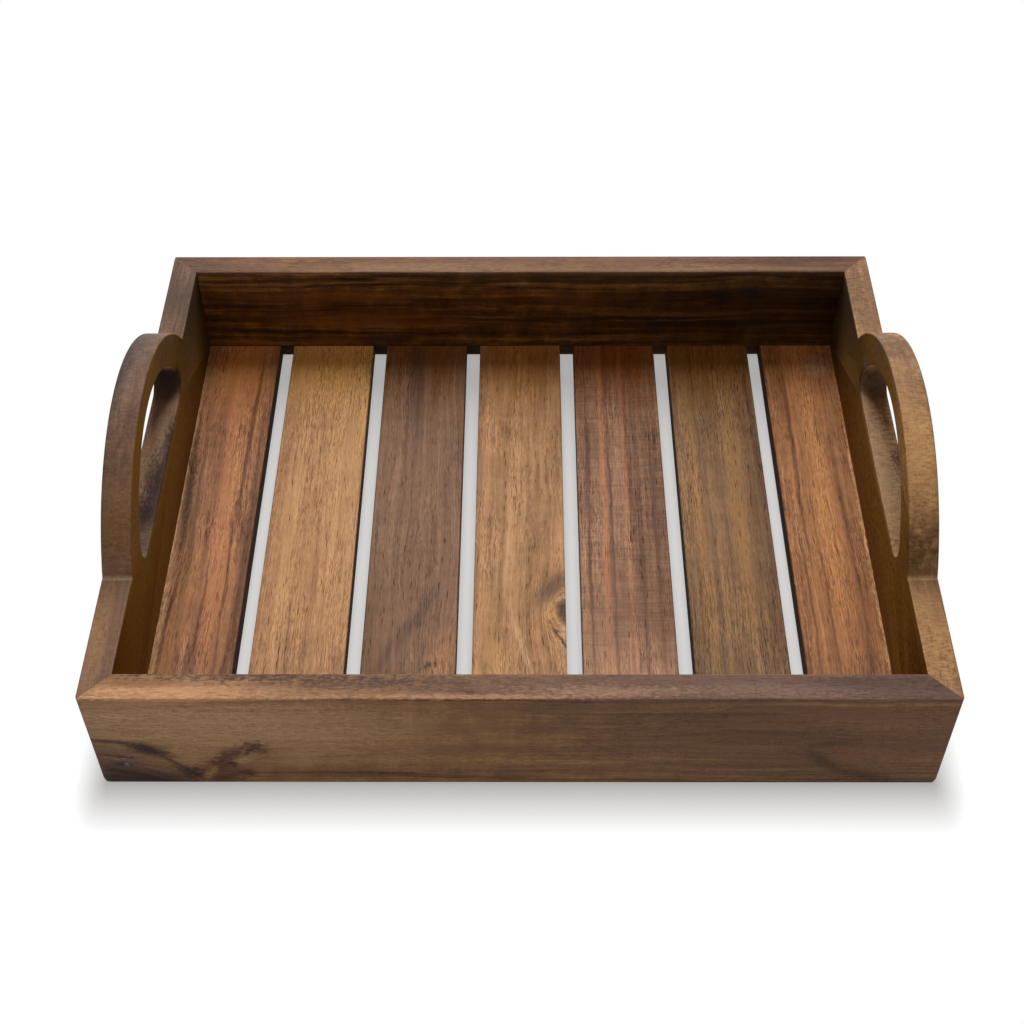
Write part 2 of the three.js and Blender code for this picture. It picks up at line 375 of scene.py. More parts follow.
# %% The board's own tones
tone_places = (0.22, 0.5, 0.78)
grain_places = (0.34, 0.5, 0.66)
grain_shades = ((0.46, 0.41, 0.36, 1), (1, 1, 1, 1), (1.42, 1.44, 1.46, 1))


def noise_layers(tree, flow, seed):
    """One noise for each grain size, in this board's own place."""
    layers = {}
    for number, (name, cell) in enumerate(layer_cells.items(), start=1):
        inputs = {"Vector": flow, "Location": seed_place(seed, number), "Scale": cell_scale(cell)}
        layer_place = add_node(tree, "ShaderNodeMapping", inputs)
        inputs = {"Vector": layer_place, "Scale": 1.0, "Detail": noise_detail, "Roughness": noise_roughness}
        layers[name] = add_node(tree, "ShaderNodeTexNoise", inputs)
    return layers


def ramp_of_layers(tree, layers, weights, places, colours):
    """The weighted sum of some layers, run through a ramp of three colours."""
    level = 0.5 - 0.5 * sum(weights.values())
    for name, weight in weights.items():
        inputs = {0: layers[name], 1: weight, 2: level}
        level = add_node(tree, "ShaderNodeMath", inputs, operation="MULTIPLY_ADD")
    ramp = add_node(tree, "ShaderNodeValToRGB", {"Fac": level})
    stops = ramp.node.color_ramp.elements
    stops.new(0.5)
    for stop, place, colour in zip(stops, places, colours):
        stop.position = place
        stop.color = colour
    return ramp


print("tone from", tone_weights, "and fine grain from", grain_weights)

# %% [markdown]
# ### Patches, stains, knots and pores
# A patch is a soft long blot of another tone that runs with the grain: a streak of orange heartwood, a rim
# of sapwood, or painted light and shade along a board. Its edge is frayed by the streak noise. A stain keeps
# its own shape across the grain and has a ragged edge, and a shade is one with a smooth edge; both draw
# marks in the wood, and some of them paint light and shade. A panel has straight sides, for one face of a
# board: here it paints shade on the slats' sawn sides and on the walls inside the tray, and another tone on
# the back rail's rim and outer face.
# A knot is a dark core with a few weak rings. Pores are the cut ends of the tree's vessels, drawn as a
# field of long thin cells with one dark dash in each.

# %% Patches, stains, knots and pores
# A blot is whole up to this share of its half size, and a panel up to that one.
blot_core = 0.1
panel_core = 0.85
knot_fray = 0.5
ring_turns = 16.0
ring_threshold = 0.3
ring_strength = 0.55
ring_reach = 2.4
core_strength = 0.92
core_softness = 0.5
# Distances from the middle of a cell of the pore field where a pore starts and where it is full.
pore_edge = 0.26
pore_heart = 0.12
# Levels of the streak noise where pores are few and where they crowd.
sparse_level = 0.62
crowded_level = 0.40
sparse_pores = 0.15
pore_layer = len(layer_cells)


def lay_blots(tree, place, colour, blots, noise, fray):
    """The colour with soft blots of other tones laid over it, their edges frayed by a noise."""
    for tone, strength, middle, size, tilt in blots:
        inputs = {"Vector": place, "Location": middle, "Rotation": (0, 0, radians(tilt)), "Scale": size}
        local = add_node(tree, "ShaderNodeMapping", inputs, vector_type="TEXTURE")
        away = add_node(tree, "ShaderNodeVectorMath", {0: local}, "Value", operation="LENGTH")
        inputs = {0: noise, 1: fray, 2: away}
        frayed = add_node(tree, "ShaderNodeMath", inputs, operation="MULTIPLY_ADD")
        inputs = {"Value": frayed, "From Min": 1 + fray / 2, "From Max": blot_core + fray / 2}
        inputs["To Max"] = strength
        share = add_node(tree, "ShaderNodeMapRange", inputs, interpolation_type="SMOOTHSTEP")
        inputs = {0: share, 6: colour, 7: linear(tone)}
        colour = add_node(tree, "ShaderNodeMix", inputs, 2, data_type="RGBA")
    return colour


def lay_panels(tree, straight, colour, panels):
    """The colour with box-shaped panels of other tones laid over it, and where those panels lie."""
    cover = 0.0
    for tone, strength, middle, size in panels:
        inputs = {"Vector": straight, "Location": middle, "Scale": size}
        local = add_node(tree, "ShaderNodeMapping", inputs, vector_type="TEXTURE")
        folded = add_node(tree, "ShaderNodeVectorMath", {0: local}, operation="ABSOLUTE")
        sides = add_node(tree, "ShaderNodeSeparateXYZ", {0: folded}).node.outputs
        wide = add_node(tree, "ShaderNodeMath", {0: sides[0], 1: sides[1]}, operation="MAXIMUM")
        away = add_node(tree, "ShaderNodeMath", {0: wide, 1: sides[2]}, operation="MAXIMUM")
        inputs = {"Value": away, "From Min": 1.0, "From Max": panel_core, "To Max": strength}
        share = add_node(tree, "ShaderNodeMapRange", inputs, interpolation_type="SMOOTHSTEP")
        inputs = {0: share, 6: colour, 7: linear(tone)}
        colour = add_node(tree, "ShaderNodeMix", inputs, 2, data_type="RGBA")
        cover = add_node(tree, "ShaderNodeMath", {0: cover, 1: share}, operation="MAXIMUM")
    return colour, cover


def lay_knots(tree, straight, colour, layers, knots):
    """The colour with a dark core at each knot and thin dark rings that fade away round it."""
    for middle, size, tone, core in knots:
        inputs = {"Vector": straight, "Location": (*middle, 0), "Scale": (*size, through_board)}
        local = add_node(tree, "ShaderNodeMapping", inputs, vector_type="TEXTURE")
        away = add_node(tree, "ShaderNodeVectorMath", {0: local}, "Value", operation="LENGTH")
        inputs = {0: layers["ragged"], 1: knot_fray, 2: away}
        frayed = add_node(tree, "ShaderNodeMath", inputs, operation="MULTIPLY_ADD")
        turns = add_node(tree, "ShaderNodeMath", {0: frayed, 1: ring_turns}, operation="MULTIPLY")
        wave = add_node(tree, "ShaderNodeMath", {0: turns}, operation="SINE")
        inputs = {"Value": wave, "From Min": ring_threshold, "To Max": ring_strength}
        ring = add_node(tree, "ShaderNodeMapRange", inputs, interpolation_type="SMOOTHSTEP")
        inputs = {"Value": frayed, "From Min": ring_reach, "From Max": 1.0}
        fade = add_node(tree, "ShaderNodeMapRange", inputs)
        rings = add_node(tree, "ShaderNodeMath", {0: ring, 1: fade}, operation="MULTIPLY")
        inputs = {"Value": frayed, "From Min": core + core_softness, "From Max": core}
        inputs["To Max"] = core_strength
        inside = add_node(tree, "ShaderNodeMapRange", inputs, interpolation_type="SMOOTHSTEP")
        share = add_node(tree, "ShaderNodeMath", {0: inside, 1: rings}, operation="MAXIMUM")
        inputs = {0: share, 6: colour, 7: linear(tone)}
        colour = add_node(tree, "ShaderNodeMix", inputs, 2, data_type="RGBA")
    return colour


def lay_pores(tree, flow, colour, layers, seed, strength):
    """The colour with short dark pores, more of them in some streaks than in others, and the pores."""
    inputs = {"Vector": flow, "Location": seed_place(seed, pore_layer), "Scale": cell_scale(pore_cell)}
    pore_place = add_node(tree, "ShaderNodeMapping", inputs)
    away = add_node(tree, "ShaderNodeTexVoronoi", {"Vector": pore_place, "Scale": 1.0}, out="Distance")
    inputs = {"Value": away, "From Min": pore_edge, "From Max": pore_heart}
    dash = add_node(tree, "ShaderNodeMapRange", inputs, interpolation_type="SMOOTHSTEP")
    inputs = {"Value": layers["streak"], "From Min": sparse_level, "From Max": crowded_level}
    inputs |= {"To Min": sparse_pores, "To Max": strength}
    crowd = add_node(tree, "ShaderNodeMapRange", inputs)
    pores = add_node(tree, "ShaderNodeMath", {0: dash, 1: crowd}, operation="MULTIPLY")
    inputs = {0: pores, 6: colour, 7: linear(pore_tone)}
    return add_node(tree, "ShaderNodeMix", inputs, 2, data_type="RGBA", blend_type="MULTIPLY"), pores


print("pores drawn in cells of", pore_cell, "mm")

# %% [markdown]
# ### The finish
# The layers come together on one Principled shader. Oil wiped thin on planed wood is a dull satin: its
# roughness is about 0.6, and 0.9 in the pores where the oil sinks in and on the panels: the slats' sawn
# sides and the walls inside the tray, whose dark colour is painted shade. Its reflection is much weaker than
# that of a lacquer, and weaker still on the drier handle boards. The pores and flecks also dent the surface,
# which breaks up the sheen.

# %% Oiled acacia
patch_fray = 1.2
stain_fray = 2.0
shade_fray = 0.3
# Levels of the calm noise where the fine grain is weakest and where it is strongest.
calm_level = 0.38
lively_level = 0.62
calm_grain = 0.25
satin_roughness = 0.60
dull_roughness = 0.90
relief_strength = 0.5
grain_relief = 0.12
usual_wander = 2.5
usual_pores = 0.75
usual_sheen = 0.12


def oiled_acacia(node, axes, centre, seed, look):
    """The oiled acacia of one board: satin brown wood with its own streaks, pores and knots."""
    wood = bpy.data.materials.new(f"oiled acacia {node}")
    wood.use_nodes = True
    tree = wood.node_tree
    shader = tree.nodes["Principled BSDF"]
    knots = look.get("knots", ())
    straight, flow = grain_flow(tree, axes, centre, seed, look.get("wander", usual_wander), knots)
    layers = noise_layers(tree, flow, seed)
    weights = {**tone_weights, **look.get("weights", {})}
    colour = ramp_of_layers(tree, layers, weights, tone_places, [linear(tone) for tone in look["tones"]])
    colour, cover = lay_panels(tree, straight, colour, look.get("panels", ()))
    colour = lay_blots(tree, flow, colour, look.get("patches", ()), layers["streak"], patch_fray)
    colour = lay_blots(tree, straight, colour, look.get("shades", ()), layers["ragged"], shade_fray)
    colour = lay_blots(tree, straight, colour, look.get("stains", ()), layers["ragged"], stain_fray)
    colour = lay_knots(tree, straight, colour, layers, knots)
    weights = {**grain_weights, **look.get("fine", {})}
    grain = ramp_of_layers(tree, layers, weights, grain_places, grain_shades)
    inputs = {"Value": layers["calm"], "From Min": calm_level, "From Max": lively_level}
    inputs |= {"To Min": calm_grain, "To Max": look["grain"]}
    strength = add_node(tree, "ShaderNodeMapRange", inputs)
    inputs = {0: strength, 6: colour, 7: grain}
    colour = add_node(tree, "ShaderNodeMix", inputs, 2, data_type="RGBA", blend_type="MULTIPLY")
    colour, dashes = lay_pores(tree, flow, colour, layers, seed, look.get("pores", usual_pores))
    dull = add_node(tree, "ShaderNodeMath", {0: dashes, 1: cover}, operation="MAXIMUM")
    inputs = {"Value": dull, "To Min": satin_roughness, "To Max": dull_roughness}
    satin = add_node(tree, "ShaderNodeMapRange", inputs)
    hollow = add_node(tree, "ShaderNodeMath", {0: layers["fleck"], 1: dashes}, operation="SUBTRACT")
    inputs = {"Height": hollow, "Strength": relief_strength, "Distance": grain_relief * MM}
    relief = add_node(tree, "ShaderNodeBump", inputs)
    tree.links.new(colour, shader.inputs["Base Color"])
    tree.links.new(satin, shader.inputs["Roughness"])
    tree.links.new(relief, shader.inputs["Normal"])
    shader.inputs["Specular IOR Level"].default_value = look.get("sheen", usual_sheen)
    return wood


print("oiled acacia: patches frayed by", patch_fray, "and stains by", stain_fray)

# %% [markdown]
# ## The seven slats, tone by tone
# Each slat was sawn from another log, and that is what gives the deck its stripes. The first is reddish
# with an orange streak, the second golden, the third purple brown, the fourth golden with a knot at its
# edge, the fifth striped, the sixth olive and the last orange. One finish with chance tones would give other
# stripes, so each slat's look is written down. A patch, stain or shade below reads: tone, strength, its
# middle (along, across, depth), its half sizes, and its tilt to the grain in degrees. A knot reads: its
# middle, the half sizes that the grain flows round, its tone, and the share of that which is dark.

# %% Slat finishes
ember = "#b37850"
rust_line = "#472410"
umber = "#523325"
pale_edge_line = "#c09468"
honey = "#c79c60"
smoke = "#4f382e"
straw = "#c19a72"
tobacco = "#8a6440"
pin_knot = "#452a1d"
# Streaks and stains go right through a slat, so their half size in depth is more than it is thick.
deep = 20.0

slat_looks = [
    {
        "tones": ("#59361f", "#875b3e", "#a5744d"),
        "patches": [
            # Painted light: the back end is lighter, against the back rail's shadow.
            ("#ba7a42", 0.8, (120, 3, 0), (62, 26, deep), 0),
            ("#5f4438", 0.8, (-126, 4, 0), (80, 40, deep), 0),
            ("#8d6238", 0.6, (-70, -7.5, 0), (90, 4.5, deep), 0),
            ("#63452f", 0.6, (10, -10, 0), (90, 6, deep), -1),
            (ember, 0.65, (-5, 6.0, 0), (150, 7.0, deep), -1.4),
            (rust_line, 0.7, (60, 13.4, 0), (90, 1.6, deep), 1.4),
            (rust_line, 0.6, (-45, 11.8, 0), (90, 1.3, deep), -1.5),
            (rust_line, 0.6, (-60, 2.5, 0), (70, 0.9, deep), -1),
            (rust_line, 0.85, (-60, -11.6, 0), (90, 1.9, deep), 0),
            (umber, 0.6, (-10, 19.5, 0), (160, 3.4, deep), 0),
        ],
        "stains": [
            # Painted highlight: a thin pale line along the slat's eased left edge.
            ("#b9936b", 0.85, (10, -16.1, 0), (210, 1.3, deep), 0),
            ("#33200f", 0.8, (22, -13.2, 0), (60, 3.4, deep), -1),
            ("#a98360", 0.6, (-72, -14.8, 0), (100, 2.2, deep), 0),
        ],
        "shades": [("#8f6b4b", 0.85, (-66, -15.0, 0), (120, 3.2, deep), 0)],
        "wander": 3.5,
        "grain": 1.0,
    },
    {
        "tones": ("#8d6340", "#a87d56", "#b88d61"),
        "patches": [
            # Painted light: the back end is lighter, against the back rail's shadow.
            ("#cf9c58", 0.75, (120, 0, 0), (60, 60, deep), 0),
            ("#866248", 0.8, (-126, 0, 0), (76, 60, deep), 0),
            (honey, 0.6, (85, 18.5, 0), (80, 3.4, deep), 0),
            ("#8f6440", 0.4, (-45, 3.0, 0), (60, 1.4, deep), 0),
        ],
        "wander": 1.6,
        "grain": 0.75,
    },
    {
        "tones": ("#634732", "#785943", "#8a6951"),
        "patches": [
            # Painted shade: the back end, in the back rail's shadow, darker and a richer amber.
            ("#6f4314", 0.8, (126, 0, 0), (56, 60, deep), 0),
            (smoke, 0.6, (100, -5, 0), (70, 9, deep), 0),
            ("#62483c", 0.75, (-126, -4, 0), (60, 50, deep), 0),
            (smoke, 0.65, (-58, 3, 0), (34, 5, deep), 25),
            (smoke, 0.5, (-84, -12, 0), (26, 4, deep), 22),
            ("#a1744e", 0.7, (-84, 14, 0), (24, 9, deep), 8),
        ],
        "stains": [
            ("#3a2319", 0.85, (-84.4, 9.7, 0), (3.0, 2.4, deep), 30),
            (pin_knot, 0.7, (-83.8, 12.0, 0), (2.4, 1.8, deep), 0),
            (pin_knot, 0.7, (-85.6, 8.0, 0), (3.4, 1.4, deep), 50),
        ],
        "wander": 3.5,
        "grain": 0.75,
    },
    {
        "tones": ("#805c3a", "#a27952", "#b98d65"),
        "patches": [
            # Painted shade: the back end, in the back rail's shadow, darker and a richer amber.
            ("#8f5c1e", 0.75, (126, 0, 0), (56, 60, deep), 0),
            ("#86644a", 0.75, (-126, 0, 0), (66, 60, deep), 0),
            (straw, 0.6, (-14, -5, 0), (44, 2.4, deep), 1.5),
            (straw, 0.6, (-70, 1.5, 0), (34, 2.6, deep), -14),
            ("#c0965f", 0.6, (-95, -6, 0), (40, 8, deep), -10),
            ("#87634a", 0.5, (0, -20, 0), (160, 3, deep), 0),
            (tobacco, 0.5, (85, 10, 0), (50, 2.0, deep), 4),
            (tobacco, 0.5, (70, 1, 0), (40, 1.6, deep), -5),
        ],
        "stains": [
            ("#3a2418", 0.9, (-70.5, 19.0, 0), (14, 1.1, deep), -28),
            ("#5a3c28", 0.7, (-63.5, 15.2, 0), (9, 1.2, deep), -20),
        ],
        "shades": [
            ("#c2935c", 0.5, (-55, 13.5, 0), (14, 5, deep), 10),
            ("#5b4232", 0.85, (-39.5, 15.5, 0), (21, 8, deep), 37),
        ],
        "knots": [((-54.5, 21.2), (11, 6.5), "#46301f", 0.6)],
        "wander": 3.5,
        "grain": 0.8,
    },
    {
        "tones": ("#603f2a", "#7c5942", "#967055"),
        "patches": [
            # Painted shade: the back end, in the back rail's shadow, darker and a richer amber.
            ("#743f0e", 0.9, (126, 0, 0), (60, 60, deep), 0),
            ("#bf967a", 0.7, (-126, 0, 0), (80, 60, deep), 0),
            (ember, 0.55, (0, -8.8, 0), (200, 2.4, deep), 0),
            (umber, 0.75, (0, -16.2, 0), (200, 1.4, deep), 0),
            (umber, 0.75, (0, -5.4, 0), (200, 1.3, deep), 0),
            (umber, 0.6, (0, 8.2, 0), (200, 1.5, deep), 0),
            (umber, 0.5, (0, 15.5, 0), (200, 1.0, deep), 0),
            (ember, 0.4, (0, 2.2, 0), (200, 1.8, deep), 0),
        ],
        "wander": 1.2,
        "weights": {"mottle": 0.5, "curl": 0.55},
        "grain": 0.9,
    },
    {
        "tones": ("#573a21", "#725437", "#8e6a45"),
        "patches": [
            # Painted shade: the back end, in the back rail's shadow, darker and a richer amber.
            ("#744a12", 0.8, (126, 0, 0), (60, 60, deep), 0),
            ("#624d3f", 0.85, (-126, 0, 0), (72, 60, deep), 0),
            ("#9c7440", 0.5, (22, 6.5, 0), (120, 8, deep), 0),
            ("#98703f", 0.5, (0, -13, 0), (150, 4.5, deep), 0),
            (umber, 0.5, (0, 19, 0), (200, 3, deep), 0),
            (umber, 0.5, (-20, 0, 0), (120, 1.4, deep), 0),
        ],
        "wander": 2.4,
        "grain": 1.0,
    },
    {
        "tones": ("#603a1e", "#8f603c", "#ab794d"),
        "patches": [
            ("#b67d49", 0.5, (-10, -1, 0), (160, 12, deep), 0),
            # Painted light: the back end is lighter, against the back rail's shadow.
            ("#aa703a", 0.5, (120, -3, 0), (50, 26, deep), 0),
            ("#6e4d39", 0.85, (-126, 0, 0), (76, 50, deep), 0),
            (rust_line, 0.65, (25, -11.5, 0), (130, 1.3, deep), 0),
            (rust_line, 0.6, (-55, -15, 0), (90, 1.1, deep), 0),
            (rust_line, 0.5, (-40, -6.5, 0), (110, 0.9, deep), 0),
            (rust_line, 0.55, (10, 8.5, 0), (170, 1.8, deep), 0),
            ("#b59a86", 0.4, (110, 6, 0), (12, 12, deep), 0),
        ],
        # A pale line along the slat's right edge.
        "stains": [(pale_edge_line, 0.85, (-30, 15.4, 0), (150, 1.3, deep), 0)],
        "wander": 2.4,
        "grain": 0.95,
    },
]
# Painted shade: the slats' sawn sides, seen in the gaps, are painted near black.
painted_slat_side_shade = "#20150f"
side_depth = slat_size.z / 2
sides = [
    (painted_slat_side_shade, 0.92, (0, edge, -side_depth - slat_arris / 2), (slat_size.y, slat_arris, side_depth))
    for edge in (-slat_size.x / 2, slat_size.x / 2)
]
slat_woods = []
for number, look in enumerate(slat_looks):
    centre = (slat_middles[number].x, 0, deck_top)
    slat_woods.append(oiled_acacia(slat_names[number], "YXZ", centre, number + 1, {**look, "panels": sides}))
print("slat finishes:", [wood.name for wood in slat_woods])

# %% [markdown]
# ## The four boards, tone by tone
# The front rail is olive brown and darkens to the right, with a swirl and a knotty stain low on the left.
# Its rim starts orange and turns mauve, and a thin line of painted shade runs under its top front edge. The
# back rail is dark and streaked, with painted shade along the top of its inner face. The left handle board
# is grey brown and the right one golden. Inside the tray their walls are painted a deep smooth amber that
# stands for their shade, darker still as painted shade into the back corners, and the back end of each hand
# slot is painted dark as shade too. Their rims are lighter at the front and darker at the back, partly their
# own tone and partly painted light and shade, and a thin painted highlight crosses each rim at the arch's
# front foot.
# The rows read as those of the slats do, with height in place of across, and a panel has no tilt.

# %% Board finishes
mauve = "#684e43"
tan = "#b48660"
# Painted shade: the walls inside the tray are painted this deep amber to stand for the shade on them.
amber_wall_shade = "#7f5a1b"
# Painted shade, laid on the inner walls so that they darken into the back corners.
painted_corner_shade = "#1c0f04"
# Painted shade on the back end of each hand slot, which lies in shadow.
slot_end_shade = "#140d09"
knot_red = "#3f2018"
ink = "#281815"
chestnut = "#482b1b"
plum = "#4c342c"
walnut = "#38271b"
bronze = "#8f602a"
soot = "#140b05"
# Painted shade along the top of the back rail's inner face.
rail_top_shade = "#1c1108"
fawn = "#92725c"
smear = "#2c1d1f"
crumb = "#2a1512"
rail_seed = 11
handle_seed = 21

rail_looks = {
    "front_rail": {
        "tones": ("#5a4029", "#7d5d40", "#987551"),
        "patches": [
            ("#ab8a69", 0.8, (-128, 46, 0), (130, 40, 20), -5),
            ("#5e4434", 0.85, (128, 28, 0), (180, 80, 20), 0),
            ("#4b3220", 0.5, (0, -2, 0), (300, 12, 20), 0),
            (chestnut, 0.75, (-70, 7.5, 0), (60, 2.0, 12), -2),
            (chestnut, 0.6, (-30, 4.5, 0), (60, 1.6, 12), -1),
            ("#46301f", 0.4, (70, 52, 0), (60, 2.4, 12), -1),
            ("#4a2f20", 0.45, (104, 39, 0), (40, 3.0, 12), -3),
            ("#77543f", 0.5, (150, 47, 0), (60, 14, 12), -4),
            # Painted shade: a thin dark line just under the front face's top edge.
            ("#3a2616", 0.8, (0, 60.6, 0), (400, 0.8, 2.0), 0),
            (tan, 0.9, (-140, 62, 4), (66, 6, 9), 0),
            ("#8f6a4c", 0.7, (-80, 62, 3), (60, 6, 8), 0),
            (mauve, 0.85, (75, 62, 7), (190, 5, 14), 0),
            ("#5b4640", 0.85, (155, 62, 7), (90, 5, 14), 0),
        ],
        "stains": [
            ("#d3a27a", 0.5, (-143, 62, 3.5), (60, 1.6, 8), 0),
            ("#7a5236", 0.7, (-140, 62, 8.5), (50, 1.6, 4), 2),
            (plum, 0.95, (-106, 62, 12.5), (80, 1.6, 5), 0),
            (plum, 0.7, (-70, 62, 9.0), (60, 1.6, 5), 0),
            ("#b98a64", 0.65, (-30, 62, 1.4), (80, 1.6, 2.6), 0),
            ("#4f3a33", 0.6, (0, 62, 8.0), (120, 1.6, 6), 0),
            ("#a5806a", 0.6, (30, 62, 4.5), (50, 1.6, 5), 0),
            ("#8c6f62", 0.6, (105, 62, 5.5), (60, 1.6, 6), 0),
            ("#46342f", 0.7, (150, 62, 9.0), (70, 1.6, 6), 0),
            (knot_red, 0.85, (-109.5, 27, 0), (7, 9, 8), 70),
            (knot_red, 0.75, (-121, 22, 0), (12, 5.5, 8), 35),
            ("#a98a62", 0.7, (-117, 17, 0), (13, 4, 8), 40),
            ("#4a2416", 0.85, (-125, 13.5, 0), (10, 7.5, 8), 20),
            (ink, 0.95, (-138.5, 8, 0), (7.5, 9, 8), 60),
            (knot_red, 0.85, (-115.5, 8.5, 0), (6, 5, 8), 0),
            (knot_red, 0.8, (-127, 4.5, 0), (15, 5.5, 8), 0),
            ("#9a7850", 0.7, (-131, 8, 0), (8, 3, 8), 60),
            (crumb, 0.8, (-121.5, 15.5, 0), (7, 2.2, 8), -25),
            (crumb, 0.75, (-113, 24, 0), (6, 1.8, 8), 60),
            (ink, 0.8, (-154.5, 25.8, 0), (13, 3.4, 10), -24),
            (ink, 0.75, (-170, 21, 0), (13, 1.3, 10), -12),
            (ink, 0.75, (-172, 9.5, 0), (12, 1.5, 10), -14),
            (ink, 0.8, (-158, 3.2, 0), (30, 1.8, 10), -8),
            ("#7d6358", 0.7, (-166, 18.2, 0), (14, 1.3, 10), -12),
            ("#77594b", 0.6, (-152, 10.5, 0), (16, 1.6, 10), -22),
            ("#94838a", 0.45, (-165.6, 14.6, 0), (2.0, 1.6, 10), 0),
        ],
        "shades": [
            ("#4e3930", 0.75, (-172, 12, 0), (54, 26, 12), -24),
            ("#2c1d1e", 0.85, (-160, 1.5, 0), (48, 12, 12), -8),
            ("#6a5148", 0.6, (-167, 25, 0), (17, 3.0, 10), -16),
            ("#5c463f", 0.55, (-157, 14, 0), (18, 2.4, 10), -36),
            ("#5a3826", 0.55, (-122, 15, 0), (32, 13, 10), 42),
            (ink, 0.97, (-155.0, 25.5, 0), (14, 6.5, 10), -24),
            (ink, 0.75, (-169, 31.5, 0), (20, 2.2, 10), -8),
            (ink, 0.65, (-146, 17, 0), (16, 2.4, 10), -45),
            ("#2a2227", 0.85, (-167, 14.8, 0), (7.5, 4, 10), 6),
            (ink, 0.65, (-160, 6, 0), (32, 3, 10), -25),
            ("#7b5a45", 0.5, (150, 20, 0), (34, 12, 12), -6),
            (walnut, 0.6, (127, 18, 0), (19, 5, 12), -46),
            (walnut, 0.55, (145, 7, 0), (24, 6, 12), -20),
            ("#3f2c1f", 0.45, (130, 31, 0), (20, 4, 12), 14),
        ],
        "weights": {"figure": 0.8, "streak": 0.5, "mottle": 0.5, "curl": 0.15},
        "fine": {"worm": 0.3, "line": 0.5},
        "wander": 4.0,
        "grain": 0.6,
        "pores": 0.45,
    },
    "back_rail": {
        "tones": ("#271a0e", "#684623", "#9d743e"),
        "panels": [
            ("#75594a", 0.75, (0, 62.5, 6.5), (400, 2.2, 14)),
            ("#6a4c33", 0.75, (0, 30, 13), (400, 62, 0.7)),
        ],
        "patches": [
            (bronze, 0.6, (-100, 45, 0), (80, 6, 3), 0),
            (bronze, 0.6, (-80, 28, 0), (70, 7, 3), 0),
            ("#7d5224", 0.5, (20, 44, 0), (70, 5, 3), 0),
            ("#96672c", 0.6, (-100, 14, 0), (28, 6, 3), 0),
            (soot, 0.8, (-60, 53.5, 0), (130, 1.8, 3), 0),
            (soot, 0.7, (-110, 38, 0), (80, 1.8, 3), 0),
            (soot, 0.7, (50, 31, 0), (120, 2.2, 3), 1),
            (soot, 0.7, (-110, 22, 0), (70, 2.0, 3), -1),
            # Painted shade along the top of the inner face.
            (rail_top_shade, 0.75, (60, 59, 0), (240, 7, 3), 0),
            (rail_top_shade, 0.5, (-135, 57, 0), (80, 9, 3), 0),
            ("#5a473d", 0.75, (-172, 62, 7), (44, 5, 14), 0),
            ("#4a362b", 0.7, (150, 62, 9), (70, 5, 10), 0),
            (fawn, 0.5, (-40, 62, 4), (90, 4, 5), 0),
            (fawn, 0.5, (90, 62, 1), (90, 4, 4), 0),
        ],
        "shades": [("#22160c", 0.7, (140, 30, 0), (150, 70, 3), 0)],
        "wander": 4.0,
        "weights": {"figure": 0.7, "streak": 1.0, "mottle": 0.6},
        "grain": 0.6,
        "pores": 0.45,
    },
}
